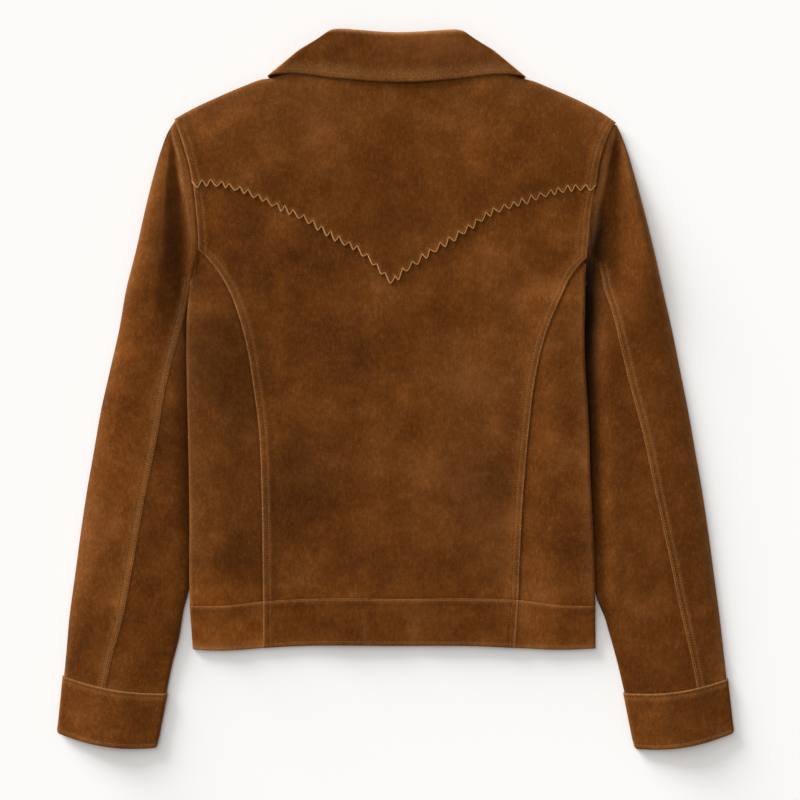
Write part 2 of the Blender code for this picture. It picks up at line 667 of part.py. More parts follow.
def wrapped(name, back, leaf, shares, low, lift, radius, wall):
    """A strip round the neck: a leaf beneath, a fold, the back part on top, a fold and the other leaf.

    back and leaf give places across and down. low is the leaves' height, and lift is added to the seat of the back.
    """
    fold = fold_steps(radius, FOLD_ANGLES)
    rows = []
    for share in shares:
        x, y = back(np.array([0.0, 1.0]), share)
        width = np.hypot(x[1] - x[0], y[1] - y[0])
        places = np.concatenate([fold[1:] / width, spread(0, 1, 9)[1:-1], 1 - fold[:0:-1] / width])
        x, y = back(places, share)
        near = roll(np.minimum(places, 1 - places) * width, radius)
        high = seat_height(x, y) + lift - rim_drop(x, y, share, shares)
        top = grid(x, y, (high + low) / 2 + (high - low) / 2 * near)
        leaves = []
        for side in OUTWARD:
            x, y = leaf(side, np.array([0.0, 1.0]), share)
            length = np.hypot(x[1] - x[0], y[1] - y[0])
            places = np.concatenate([fold[2:] / length, spread(0, 1, 5)[1:]])
            x, y = leaf(side, places, share)
            middle = (seat_height(x[0], y[0]) + lift + low) / 2
            lowest = low + rim_drop(x, y, share, shares)
            leaves.append(grid(x, y, middle + (lowest - middle) * roll(places * length, radius)))
        rows.append(np.concatenate([leaves[0][::-1], top, leaves[1]]))
    points = np.array(rows)
    return panel(name, points, wall, points.shape[1] // 2)


def rim_drop(x, y, share, shares):
    """How far the collar's rounded top edge has turned in at this share of its depth."""
    turned = 1 - roll(share * COLLAR_DEPTH, RIM_RADIUS)
    return RIM_RADIUS * turned + 0 * x


def collar_fall():
    """The collar's fall: its back part lies on the yoke, and a leaf turns under on each side of the neck."""
    def back(places, share):
        top_x = between(COLLAR_TOP[0][0], COLLAR_TOP[-1][0], places)
        edge_x = between(COLLAR_EDGE[0][0], COLLAR_EDGE[-1][0], places)
        return (
            between(top_x, edge_x, share),
            between(along(COLLAR_TOP, top_x), along(COLLAR_EDGE, edge_x), share),
        )

    def leaf(side, places, share):
        end = 0.0 if side == "left" else 1.0
        x, y = back(np.array([end]), share)
        tip = between(np.array(LEAF_ROLL_END[side]), np.array(LEAF_POINT[side]), share)
        return between(x, tip[0], places), between(y, tip[1], places)

    rim = fold_steps(RIM_RADIUS, [0, 8, 40, 90]) / COLLAR_DEPTH
    shares = np.concatenate([rim, [0.35, 0.7, 1.0]])
    return wrapped("collar_fall", back, leaf, shares, 0.0, COLLAR_WALL + 4 * GAP, FALL_FOLD, COLLAR_WALL)


def collar_stand():
    """The collar's stand, from the neckline up to the fall's top edge, nested inside the fall."""
    def back(places, share):
        top_x = between(COLLAR_TOP[0][0] + STAND_INSET, COLLAR_TOP[-1][0] - STAND_INSET, places)
        neck_x = between(NECK_POINTS[0] + 1.5, NECK_POINTS[1] - 1.5, places)
        top_y = along(COLLAR_TOP, top_x) + STAND_INSET
        neck_y = along(BACK_TOP, neck_x) - 6 * GAP - (YOKE_WALL + GAP)
        return between(top_x, neck_x, share), between(top_y, neck_y, share)

    def leaf(side, places, share):
        end = 0.0 if side == "left" else 1.0
        top_x, top_y = back(np.array([end]), 0.0)
        roll_x = between(top_x, LEAF_ROLL_END[side][0] - OUTWARD[side] * 2, places)
        roll_y = between(top_y, LEAF_ROLL_END[side][1] + STAND_INSET, places)
        neck_x = between(back(np.array([end]), 1.0)[0], CENTRE_FRONT + OUTWARD[side] * 1.5, places)
        neck_y = along(FRONT_NECK, neck_x) - 6 * GAP
        neck_y = between(back(np.array([end]), 1.0)[1], neck_y, rise(places, 0, 0.12))
        return between(roll_x, neck_x, share), between(roll_y, neck_y, share)

    shares = spread(0, 1, 4)
    return wrapped("collar_stand", back, leaf, shares, LEAF_LIFT, 0.0, STAND_FOLD, COLLAR_WALL)


def main():
    for item in list(bpy.data.objects):
        bpy.data.objects.remove(item, do_unlink=True)
    collection = bpy.data.collections.new(COLLECTION)
    bpy.context.scene.collection.children.link(collection)
    back_centre()
    yoke()
    for side in OUTWARD:
        back_side(side)
        front(side)
        top_sleeve(side)
        under_sleeve(side)
        cuff(side)
    band_pieces()
    collar_fall()
    collar_stand()


main()
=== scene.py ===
# %% [markdown]
# # A short western jacket in suede, laid flat with its back up
# The jacket lies on a table with its front down. What shows is the back: a yoke with a pinked edge, a
# centre panel between two curved seams, two side panels, a hem band, two-piece sleeves with cuffs, and a
# turned-down collar. Each piece of hide is made as its own thin sheet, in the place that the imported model
# gives it.

import json

import bpy
import numpy as np
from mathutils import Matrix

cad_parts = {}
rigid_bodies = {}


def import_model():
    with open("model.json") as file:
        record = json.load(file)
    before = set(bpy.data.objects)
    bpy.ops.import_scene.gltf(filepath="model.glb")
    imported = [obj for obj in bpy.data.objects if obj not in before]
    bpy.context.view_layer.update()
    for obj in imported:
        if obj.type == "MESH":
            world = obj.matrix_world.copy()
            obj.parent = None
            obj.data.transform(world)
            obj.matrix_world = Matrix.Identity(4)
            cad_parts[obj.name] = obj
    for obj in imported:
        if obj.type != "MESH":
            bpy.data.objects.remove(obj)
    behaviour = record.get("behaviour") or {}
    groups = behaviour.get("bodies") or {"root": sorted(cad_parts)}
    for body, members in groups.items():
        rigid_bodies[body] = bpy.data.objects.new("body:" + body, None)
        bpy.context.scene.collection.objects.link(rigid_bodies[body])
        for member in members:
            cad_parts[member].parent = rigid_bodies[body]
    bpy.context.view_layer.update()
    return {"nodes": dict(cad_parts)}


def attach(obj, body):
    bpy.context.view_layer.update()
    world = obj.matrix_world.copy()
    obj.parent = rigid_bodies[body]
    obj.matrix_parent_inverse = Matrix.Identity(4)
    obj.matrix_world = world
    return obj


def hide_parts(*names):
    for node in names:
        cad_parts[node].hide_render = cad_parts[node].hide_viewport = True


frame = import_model()
print("packed nodes:", len(frame["nodes"]))

# %% [markdown]
# ## The pattern
# A cutter works from paper patterns, so this starts with the outlines: short tables of places on the
# layout, in millimetres right of and below its upper left corner. A smooth curve runs through each table.
# Drawing every outline as a table keeps neighbours on the same line, which a model pushed about by hand
# would not.

# %% Outlines of the body
# A line that runs down the layout is a table of (down, across), and one that runs across it of (across, down).
SHEET_CENTRE = (395.5, 390.0)  # the place of the layout that lies on the model's origin
OUTWARD = {"left": -1.0, "right": 1.0}
SHOULDER = {"left": (175.5, 120.0), "right": (615.0, 124.0)}
UNDERARM = {"left": 286.0, "right": 272.0}
PRINCESS_TOP = {"left": 251.0, "right": 259.0}
BODY_EDGE = {
    "left": [
        (100, 170.0), (120, 175.5), (145, 184.0), (170, 191.0), (188, 194.0), (216, 197.0), (240, 198.6),
        (256, 197.6), (267, 194.5), (286, 190.0), (306, 188.0), (345, 187.0), (383, 187.4), (430, 188.5),
        (515, 190.0), (590, 190.0), (606, 190.3), (650, 192.7),
    ],
    "right": [
        (104, 619.0), (124, 615.0), (132, 610.2), (154, 601.2), (182, 595.6), (210, 590.7), (239, 588.2),
        (256, 586.6), (272, 585.8), (300, 584.8), (330, 584.0), (370, 585.0), (400, 587.0), (430, 588.7),
        (478, 590.0), (515, 592.0), (560, 594.0), (606, 595.0), (650, 595.7),
    ],
}
PRINCESS = {
    "left": [
        (248, 199.0), (258, 207.5), (267, 215.0), (287, 227.8), (319, 240.3), (351, 248.4), (383, 253.4),
        (421, 258.4), (500, 262.3), (580, 263.3), (602, 263.6), (650, 263.4),
    ],
    "right": [
        (256, 587.2), (264, 580.2), (273, 573.0), (297, 560.5), (330, 546.5), (380, 534.5), (430, 528.6),
        (500, 522.6), (560, 519.6), (601, 518.0), (650, 514.6),
    ],
}
BACK_TOP = [
    (150, 134.0), (175.5, 120.0), (191, 111.0), (216, 99.3), (245, 87.2), (262, 81.0), (275, 79.0),
    (292, 70.0), (312, 60.0), (340, 68.0), (397, 73.0), (455, 68.0), (482, 60.0), (501, 70.0),
    (517, 79.0), (530, 81.8), (551, 90.0), (579, 102.0), (602, 114.2), (616, 124.0), (640, 137.0),
]
NECK_POINTS = (312.0, 482.0)
BAND_LEVEL = 602.0  # where the band's seam meets the princess seams
BAND_SEAM = [
    (180, 605.2), (226, 604.9), (262, 601.3), (324, 598.1), (400, 598.6), (484, 598.4), (519, 599.8),
    (554, 604.0), (605, 605.5),
]
HEM = [
    (180, 648.0), (207, 650.3), (236, 650.0), (264, 647.8), (302, 645.9), (400, 645.8), (470, 645.9),
    (526, 648.3), (561, 649.7), (605, 647.8),
]
YOKE_EDGE = [
    (194, 186.0), (205, 183.5), (241, 190.0), (277, 206.0), (307, 220.0), (330, 235.0), (365, 255.0),
    (380, 270.0), (392, 281.0), (404, 271.0), (422, 258.0), (459, 234.5), (496, 210.5), (515, 204.5),
    (552, 192.5), (570, 188.5), (596, 188.0),
]
CENTRE_FRONT = 394.0
FRONT_NECK = [
    (312, 60.0), (330, 86.0), (355, 110.0), (393, 128.0), (432, 110.0), (460, 86.0), (482, 60.0),
]

# %% Outlines of the sleeves and the collar
SLEEVE_OUTER = {
    "left": [
        (120, 175.5), (130, 169.0), (150, 161.0), (170, 155.0), (210, 145.0), (250, 136.0), (290, 126.0),
        (330, 119.0), (370, 110.0), (410, 101.0), (450, 94.0), (490, 87.0), (530, 81.0), (575, 75.0),
        (620, 69.0), (655, 66.0), (680, 63.5),
    ],
    "right": [
        (124, 616.0), (130, 619.0), (150, 627.0), (170, 633.0), (210, 644.0), (250, 654.0), (290, 663.0),
        (330, 672.0), (370, 680.0), (410, 688.0), (450, 695.0), (490, 702.0), (530, 708.0), (575, 714.0),
        (620, 720.0), (655, 724.0), (682, 727.0),
    ],
}
SLEEVE_INNER = {
    "left": [
        (286, 190.0), (306, 187.5), (326, 186.8), (350, 191.0), (390, 199.0), (440, 203.0), (500, 202.0),
        (550, 196.5), (580, 190.5), (592, 188.2), (608, 184.0), (638, 179.0), (665, 172.0), (695, 166.0),
    ],
    "right": [
        (272, 585.8), (300, 585.3), (325, 584.6), (350, 581.0), (390, 575.5), (440, 574.5), (500, 579.0),
        (545, 588.0), (570, 594.4), (582, 594.4), (592, 595.4), (601, 597.7), (609, 601.2), (617, 604.6),
        (632, 609.0), (665, 618.0), (695, 625.0),
    ],
}
SLEEVE_SEAM = {
    "left": [
        (240, 204.4), (255, 198.9), (262, 196.2), (268, 193.9), (290, 189.7), (319, 184.0), (358, 174.0),
        (389, 166.6), (430, 159.6), (503, 145.0), (557, 135.3), (619, 123.6), (660, 112.5), (690, 106.6),
    ],
    "right": [
        (236, 585.0), (249, 588.5), (258, 594.6), (269, 599.8), (289, 604.1), (309, 610.4), (345, 619.4),
        (383, 628.4), (430, 640.9), (501, 656.4), (557, 668.4), (620, 681.8), (662, 691.4), (690, 696.9),
    ],
}
# The sleeve head stands up in a strip beside the armhole; this is the strip's outer edge.
RIDGE_EDGE = {
    "left": [(118, 175.0), (128, 172.0), (154, 178.0), (188, 183.0), (216, 188.0), (251, 191.0), (290, 188.0)],
    "right": [(118, 618.0), (130, 615.5), (160, 608.5), (200, 602.0), (230, 597.5), (262, 594.0), (290, 592.0)],
}
SEAM_START = {"left": 262.0, "right": 249.0}  # where the sleeve's back seam leaves the armhole
CUFF_SEAM_OUTER = {"left": 675.5, "right": 678.4}
CUFF_SEAM_INNER = {"left": 693.2, "right": 692.8}
CUFF_SEAM_BACK = {"left": 687.5, "right": 687.2}
CUFF_END = {"left": ((57.0, 732.5), (157.2, 747.5)), "right": ((734.0, 732.5), (634.0, 748.5))}
CUFF_END_SAG = 6.0
CUFF_STEP = 1.4  # how far the cuff stands out beside the sleeve
COLLAR_TOP = [(325, 29.0), (340, 29.6), (398, 33.3), (450, 30.6), (468, 29.5)]
COLLAR_EDGE = [
    (267.6, 76.2), (287, 74.6), (340, 80.2), (403, 83.6), (455, 80.4), (503, 75.2), (525.6, 77.2),
]
LEAF_ROLL_END = {"left": (386.0, 106.0), "right": (402.0, 106.0)}
LEAF_POINT = {"left": (322.0, 160.0), "right": (466.0, 160.0)}
print("outlines drawn, shoulders", SHOULDER["right"][0] - SHOULDER["left"][0], "mm apart")

# %% [markdown]
# ## Curves and profiles
# Every panel needs the same few tools: a smooth curve through a table, a smooth step, a smooth bump, and
# the rounding of a fold. The rounding is a quarter of an ellipse, because soft hide folded over itself
# makes a small tube rather than a sharp edge.

# %% Curve tools
def along(table, at):
    """Smooth values at places along a table of (place, value) rows."""
    place, value = np.array(table, float).T
    at = np.asarray(at, float)
    slope = np.gradient(value, place)
    k = np.clip(np.searchsorted(place, at) - 1, 0, len(place) - 2)
    step = place[k + 1] - place[k]
    s = np.clip((at - place[k]) / step, 0, 1)
    near = (1 + 2 * s) * (1 - s) ** 2 * value[k] + s * (1 - s) ** 2 * step * slope[k]
    far = s**2 * (3 - 2 * s) * value[k + 1] + s**2 * (s - 1) * step * slope[k + 1]
    return near + far


def rise(at, start, end):
    """0 before start, 1 after end, smooth between them."""
    s = np.clip((at - start) / (end - start), 0, 1)
    return s * s * (3 - 2 * s)


def past(at, start, span):
    """A rise whose two ends are given from a start."""
    return rise(at, start + span[0], start + span[1])


def roll(distance, radius):
    """How much of its full height a rounded fold has reached, this far inside the fold."""
    s = np.clip(distance / radius, 0, 1)
    return np.sqrt(1 - (1 - s) ** 2)


def bell(distance, reach):
    """1 at no distance, falling away smoothly on both sides to almost nothing at twice the reach."""
    return np.exp(-((distance / reach) ** 2))


def between(a, b, s):
    return a * (1 - s) + b * s


def across(table, x, y):
    """Distance from a curve that runs down the layout, positive to its right, square to the curve."""
    slope = along(table, y + 0.5) - along(table, y - 0.5)
    return (x - along(table, y)) / np.hypot(1, slope)


def below(table, x, y):
    """Distance from a curve that runs across the layout, positive below it, square to the curve."""
    return across(table, y, x)


def drape(x, y, size, height, seed):
    """Soft, shallow waves in a lying sheet: a sum of random plane waves, about size from crest to crest."""
    rng = np.random.default_rng(seed)
    waves = 0
    for _ in range(9):
        turn, phase = rng.uniform(0, 2 * np.pi, 2)
        length = size * rng.uniform(0.7, 1.6)
        waves = waves + np.sin((x * np.cos(turn) + y * np.sin(turn)) * 2 * np.pi / length + phase)
    return height * waves / 3


def waves(x, y, table):
    """The sum of several drapes, from rows of size, height and seed."""
    return sum(drape(x, y, *row) for row in table)


print("princess seam at y 400:", along(PRINCESS["left"], 400).round(1))

# %% [markdown]
# ## How high the jacket lies
# A jacket on a table is a few flat tubes side by side. The body and each sleeve are two layers of hide with
# a little air between them, rounded where they fold. The body's sides lie over the tucked inner edges of
# the sleeves, and its neck lies over the collar's leaves, so those parts lift. One height for every place
# on the layout keeps all panels, threads and seams on the same surface.

# %% Heights of the body
HIDE = 1.3  # thickness of the hide, in millimetres like every length below
LAP = 1.2  # how far a lapped edge stands above the panel that it covers
EDGE = 6.6  # height of the flattened body beside its folds
LIE = 9.0  # and over its middle
CROWN = 45.0  # how far in from a fold it takes to get there
FOLD = EDGE / 2
TUCK_CLEAR = 6.9  # how far the body's sides are lifted by the sleeves below them
TUCK_START = (0.0, 36.0)  # below the underarm, where the lift begins and is full
TUCK_END = (596.0, 645.0)  # levels between which it ends
TUCK_IN = (21.0, 75.0)  # inside the side fold, where it fades
LEAF_LIFT = 3.1  # how far the neck is lifted by the collar's leaves
LEAF_ZONE = (262.0, 530.0, 168.0)  # left, right and lower end of the leaves
LEAF_FADE = 70.0
SHOULDER_SLANT = 0.91  # the shoulder's slope shortens what is measured straight down from it
HEM_LEVEL = 650.0
BACK_WAVES = ((120, 0.9, 3), (46, 0.28, 4))
WAVES_IN = (4, 40)  # inside a fold, where the waves begin and where they are full


def inside(side, x, y):
    return (along(BODY_EDGE[side], y) - x) * OUTWARD[side]


def shoulder_distance(x, y):
    from_neck = np.clip(np.minimum(x - NECK_POINTS[0], NECK_POINTS[1] - x), 0, None)
    return np.hypot(SHOULDER_SLANT * np.clip(y - along(BACK_TOP, x), 0, None), from_neck)


def side_distance(side, x, y):
    return np.hypot(np.clip(inside(side, x, y), 0, None), np.clip(UNDERARM[side] - y, 0, None))


def fold_distance(x, y):
    nearest = shoulder_distance(x, y)
    for side in OUTWARD:
        nearest = np.minimum(nearest, side_distance(side, x, y))
    return nearest


def body_low(x, y):
    left, right, bottom = LEAF_ZONE
    low = LEAF_LIFT * rise(x, left - LEAF_FADE, left) * (1 - rise(x, right, right + LEAF_FADE))
    low = low * (1 - rise(y, bottom, bottom + LEAF_FADE))
    for side in OUTWARD:
        over_sleeve = past(y, UNDERARM[side], TUCK_START) * (1 - rise(y, *TUCK_END))
        low = low + TUCK_CLEAR * over_sleeve * (1 - rise(inside(side, x, y), *TUCK_IN))
    return low


def body_top(x, y):
    """The back's outer side, before seams and edges."""
    crown = rise(fold_distance(x, y), 0, CROWN) * rise(HEM_LEVEL - y, -20, CROWN)
    soft = rise(fold_distance(x, y), *WAVES_IN)
    relief = waves(x, y, BACK_WAVES) * soft
    high = body_low(x, y) + EDGE + (LIE - EDGE) * crown + relief
    middle = body_low(x, y) + FOLD
    return middle + (high - middle) * roll(fold_distance(x, y), FOLD)


def body_bottom(x, y):
    low = body_low(x, y)
    return low + FOLD * (1 - roll(fold_distance(x, y), FOLD))


print("back at the middle:", round(float(body_top(395.0, 400.0)), 1), "mm high")

# %% [markdown]
# ## Edges that are stitched down
# At a topstitched seam the upper panel's edge is turned or cut, laid over its neighbour and sewn down some
# six millimetres in. The edge is rounded, the line of stitches pulls the hide down into a groove, and the
# strip between them stays plump. The handling of a suede jacket rubs such edges lighter. Some edges and the
# folds are also painted lighter as a highlight, and a thin painted shadow darkens the panel beside a lap.
# The same profile serves every lapped seam.

# %% The profile of a stitched edge
STITCH_IN = 6.2  # from a lapped edge to its line of stitches
FAR = 99.0  # a distance at which an edge or its stitches no longer count
GROOVE = 0.45
GROOVE_WIDE = 1.0
LIP = 0.45  # how far an edge is rounded off, and over what width
LIP_WIDE = 1.0
PLUMP_END = (-0.5, 8.0)  # from the stitches, where the plump strip falls away
STITCH_RUB = (0.13, 2.6)  # how much lighter the line of stitches is rubbed, and how wide
# Painted highlight along the body's folds and, wider, along the shoulders: strength and reach.
FOLD_HIGHLIGHT = (0.10, 9.0)
SHOULDER_HIGHLIGHT = (0.05, 24.0)
# Width of the painted shadow line beside a lapped edge.
SHADE_LINE_WIDE = 0.8


def lapped(distance, lift=LAP, stitch=STITCH_IN, deep=GROOVE):
    """Height to add near a lapped edge, this far inside it."""
    plump = lift * (1 - past(distance, stitch, PLUMP_END))
    return plump - deep * bell(distance - stitch, GROOVE_WIDE) - LIP * (1 - roll(distance, LIP_WIDE))


def wear_and_highlight(distance, most=0.5, reach=1.5, stitch=STITCH_IN):
    """How much lighter the hide is made: wear on an edge, and a painted highlight where it is used on a fold;
    most on the edge, and a little along its line of stitches.
    """
    by_stitches, wide = STITCH_RUB
    return most * bell(np.clip(distance, 0, None), reach) + by_stitches * bell(distance - stitch, wide)


def painted_shade_line(distance, most=0.32, at=1.9):
    """A thin painted shadow line beside a lapped edge."""
    return most * bell(distance - at, SHADE_LINE_WIDE)


def fold_highlight(x, y):
    """A painted highlight along a wide stretch of the shoulders' and the body's side folds, where light falls.
    """
    on_fold = FOLD_HIGHLIGHT[0] * bell(fold_distance(x, y), FOLD_HIGHLIGHT[1])
    return on_fold + SHOULDER_HIGHLIGHT[0] * bell(shoulder_distance(x, y), SHOULDER_HIGHLIGHT[1])


def side_edge_distance(side, x, y):
    """How far the centre back's places are inside its edge: the armhole seam, then the princess seam."""
    armhole = -OUTWARD[side] * across(BODY_EDGE[side], x, y)
    princess = -OUTWARD[side] * across(PRINCESS[side], x, y)
    return np.where(y < PRINCESS_TOP[side], armhole, princess)


def back_edge_distance(x, y):
    return np.minimum(side_edge_distance("left", x, y), side_edge_distance("right", x, y))


def centre_height(x, y):
    """The centre back's outer side: lapped over the side panels, and lipped along the armholes."""
    return body_top(x, y) + lapped(back_edge_distance(x, y))


print("a lapped edge is", round(float(lapped(3.0)), 2), "mm proud")

# %% [markdown]
# ## From a grid of places to a piece of hide
# A panel could be a subdivided plane pushed into shape with a cloth simulation, but then its edges would
# drift off the pattern. Instead each panel is a grid whose rows and columns follow its seams, with points
# set close together at the edges where the shape turns quickly. A Solidify modifier then gives it the
# thickness of the hide, inwards. Each point also holds two numbers for the colour. The first says how far
# it is made paler, by rubbing wear and by painted highlight, or below 0 darker, by painted shade beside
# seams. The second, nap, says how light it is made by large soft patches from a short table; some of these
# vary the hide's tone, others are painted shade and painted highlight.

# %% Lay the nap and the painted shade
MM = 0.001
# Patches where the hide is made darker (below 0) or lighter: place across and down, reach across and down,
# change. The dark patches on the sleeves beside the body and in the hollow below each sleeve head are painted
# shade; the light patches over the left sleeve's outer half and the one at the right armhole's strip are
# painted highlight; the others make the hide darker or lighter in soft patches.
NAP_AND_PAINTED_SHADING = {
    "side_back_left": [(213, 362, 26, 52, -0.28), (250, 560, 40, 26, -0.10), (222, 600, 46, 24, 0.80)],
    "band_side_left": [(222, 636, 50, 24, 0.56)],
    "centre_back": [
        (303, 478, 34, 46, -0.22), (282, 270, 15, 62, 0.20), (474, 484, 32, 62, -0.30),
        (209, 222, 15, 32, 0.52), (515, 440, 14, 130, -0.10), (450, 596, 60, 16, 0.28),
        (330, 596, 60, 14, 0.14), (400, 395, 34, 26, 0.14), (470, 290, 34, 40, 0.14), (545, 222, 50, 34, 0.24),
        (345, 520, 22, 24, 0.16),
    ],
    "band_centre": [(440, 612, 60, 22, -0.10), (325, 642, 55, 11, 0.22)],
    "yoke": [
        (500, 172, 80, 46, 0.20), (300, 112, 40, 22, -0.10), (200, 155, 13, 34, 0.12), (375, 150, 26, 34, 0.10),
        (570, 118, 44, 26, 0.20), (602, 160, 16, 30, -0.17), (235, 118, 40, 24, 0.10),
    ],
    "band_side_right": [(550, 622, 50, 16, 0.22), (555, 642, 50, 12, 0.30)],
    "collar_fall": [(395, 46, 120, 9, -0.08)],
    "cuff_right": [(684, 715, 18, 26, -0.12), (640, 720, 20, 40, 0.14)],
    "top_sleeve_left": [
        (172, 222, 9, 50, -0.36), (178, 285, 8, 50, -0.36), (162, 254, 12, 18, -0.22),
        (128, 440, 22, 150, 0.34), (128, 640, 30, 50, 0.20),
    ],
    "under_sleeve_left": [(150, 640, 34, 60, 0.26), (186, 330, 9, 60, -0.30), (191, 470, 11, 110, -0.22)],
    "top_sleeve_right": [
        (604, 158, 5, 28, 0.42), (611, 160, 6, 34, -0.36), (594, 222, 7, 26, -0.27), (601, 232, 11, 36, -0.40),
        (592, 255, 11, 30, -0.58),
    ],
    "under_sleeve_right": [
        (592, 268, 10, 26, -0.25), (590, 300, 13, 40, -0.36), (607, 300, 13, 34, -0.16),
        (586, 400, 11, 190, -0.85),
    ],
}


def nap_and_painted_shading(name, points):
    """How light each point of a piece is made by the soft patches of its table, some of them painted shade and
    painted highlight; 1 is plain.
    """
    x, y = points[..., 0] / MM + SHEET_CENTRE[0], SHEET_CENTRE[1] - points[..., 1] / MM
    light = np.ones(x.shape)
    for at_x, at_y, reach_x, reach_y, change in NAP_AND_PAINTED_SHADING.get(name, []):
        light = light + change * bell(x - at_x, reach_x) * bell(y - at_y, reach_y)
    return np.clip(light, 0.08, 1.6)


print("patches of nap:", sum(len(patches) for patches in NAP_AND_PAINTED_SHADING.values()))

# %% Build a sheet of hide
pieces = {}


def grid(x, y, z):
    """Points in metres from places on the layout and heights."""
    x, y, z = np.broadcast_arrays(x, y, z)
    return np.stack([x - SHEET_CENTRE[0], SHEET_CENTRE[1] - y, z], axis=-1) * MM


def upward(points, column, way):
    """Whether the normals of a grid point up (way is 1) or down (way is -1) along one column."""
    normal = np.cross(np.gradient(points, axis=1), np.gradient(points, axis=0))
    return normal[:, column, 2].sum() * way > 0


def cut_size(points, plain=0):
    """Width, length and area of a flattened grid, in metres. The width is that of the rows from plain on."""
    rows = np.linalg.norm(np.diff(points, axis=1), axis=-1)
    columns = np.linalg.norm(np.diff(points, axis=0), axis=-1)
    a, b = points[1:, 1:] - points[:-1, :-1], points[:-1, 1:] - points[1:, :-1]
    area = np.linalg.norm(np.cross(a, b), axis=-1).sum() / 2
    return float(rows[plain:].sum(axis=1).max()), float(columns.sum(axis=0).max()), float(area)


def put(name, data):
    """An object in the scene that holds this data."""
    thing = bpy.data.objects.new(name, data)
    bpy.context.scene.collection.objects.link(thing)
    return thing


def smooth_mesh(name, points, faces):
    mesh = bpy.data.meshes.new(name)
    mesh.from_pydata(points.reshape(-1, 3).tolist(), [], faces)
    mesh.shade_smooth()
    return mesh


def hide(name, node, points, wear_and_painted_shading=0.0, column=None, way=1, closed=False, wall=HIDE, plain=0):
    """A sheet of hide from a grid of its outer points, with a value for each point that makes it lighter, by
    wear and painted highlight, and below 0 darker, by painted shade.
    """
    wear_and_painted_shading = np.broadcast_to(wear_and_painted_shading, points.shape[:2])
    column = points.shape[1] // 2 if column is None else column
    if not upward(points, column, way):
        points, wear_and_painted_shading = points[:, ::-1], wear_and_painted_shading[:, ::-1]
    index = np.arange(wear_and_painted_shading.size).reshape(wear_and_painted_shading.shape)
    if closed:
        index = np.concatenate([index, index[:, :1]], axis=1)
    corners = [index[:-1, :-1], index[:-1, 1:], index[1:, 1:], index[1:, :-1]]
    faces = np.stack(corners, axis=-1).reshape(-1, 4)
    mesh = smooth_mesh(name, points, faces.tolist())
    # The nap attribute carries the soft patches, some of them painted shade and painted highlight.
    for attribute, values in (("wear_and_painted_shading", wear_and_painted_shading), ("nap", nap_and_painted_shading(name, points))):
        layer = mesh.attributes.new(attribute, "FLOAT", "POINT")
        layer.data.foreach_set("value", values.reshape(-1).astype(np.float32))
    piece = put(name, mesh)
    shell = piece.modifiers.new("thickness", "SOLIDIFY")
    shell.thickness = wall * MM
    shell.offset = -1.0
    shell.use_even_offset = False
    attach(piece, "root")
    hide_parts(node)
    flattened = np.concatenate([points, points[:, :1]], axis=1) if closed else points
    width, length, area = cut_size(flattened, plain)
    pieces[name] = {"object": piece, "cut": (width, length), "area": min(area, width * length), "trim": []}
    print(f"{name}: {len(faces)} faces, cut {width:.3f} x {length:.3f} m, area {area:.4f} m2")
    return piece

# %% [markdown]
# ## The centre back
# On the real jacket this is one panel from the hem band to the shoulders, with the yoke laid on top. It
# could stop below the yoke, but then the yoke would have nothing to lie on. Its rows run across it: the
# lower ones between the princess seams, the upper ones between the armholes and round the shoulder fold.

# %% Make the centre back
NEAR_EDGE = np.array([0.0, 0.3, 0.8, 1.5, 2.5, 4.0, 5.2, 5.8, 6.3, 6.9, 7.8, 9.5, 12.0, 15.5])
FOLD_TURN = 1 - np.cos(np.radians([90, 75, 60, 45, 30, 15, 0]))
UNDERLAP = 5.0  # how far a panel runs on below the one that covers it
BY_THE_BAND = [UNDERLAP, 0.4, -0.4, -1.0, -1.6, -2.6]  # rows below and above the hem band's upper edge
BACK_COLUMNS = 110
BACK_ROWS = 105
SHOULDER_ROWS = 44


def seamed(left, right, pitch_count):
    """Places across a row from one seam to another, close together beside both."""
    middle = np.linspace(left + NEAR_EDGE[-1], right - NEAR_EDGE[-1], pitch_count)
    return np.concatenate([left + NEAR_EDGE, middle[1:-1], right - NEAR_EDGE[::-1]])


def up_and_over(shares):
    """Shares of the way up to the shoulder fold, then round it, each with its drop below the fold's line."""
    drops = FOLD * FOLD_TURN / SHOULDER_SLANT
    return [(share, drops[0]) for share in shares] + [(1.0, drop) for drop in drops]


def armhole_ends(base, share, drop):
    """Where a row that is a share of the way up from a line, base, meets the two armholes."""
    ends = zip(OUTWARD, (base[0], base[-1]))
    return [along(BODY_EDGE[side], between(end, SHOULDER[side][1] + drop, share)) for side, end in ends]


def shoulder_rows(base):
    """Rows from a line, base, up to the shoulders and neckline. The last ones round the fold."""
    rows = []
    top_x = seamed(SHOULDER["left"][0], SHOULDER["right"][0], BACK_COLUMNS)
    for share, drop in up_and_over(np.linspace(0, 1, SHOULDER_ROWS)[:-1]):
        x = seamed(*armhole_ends(base, share, drop), BACK_COLUMNS)
        rows.append((x, between(base, along(BACK_TOP, top_x) + drop, share)))
    return rows


def back_rows(count):
    """How far each row starts below the band's seam, and its share of the way up from there."""
    *by_seam, last = BY_THE_BAND
    return [(start, 0.0) for start in by_seam] + [(last, share) for share in np.linspace(0, 1, count)]


def shade_above_band(x, y):
    """The painted shadow line on the back just above its hem band."""
    return painted_shade_line(-below(BAND_SEAM, x, y), 0.2, 0.9)


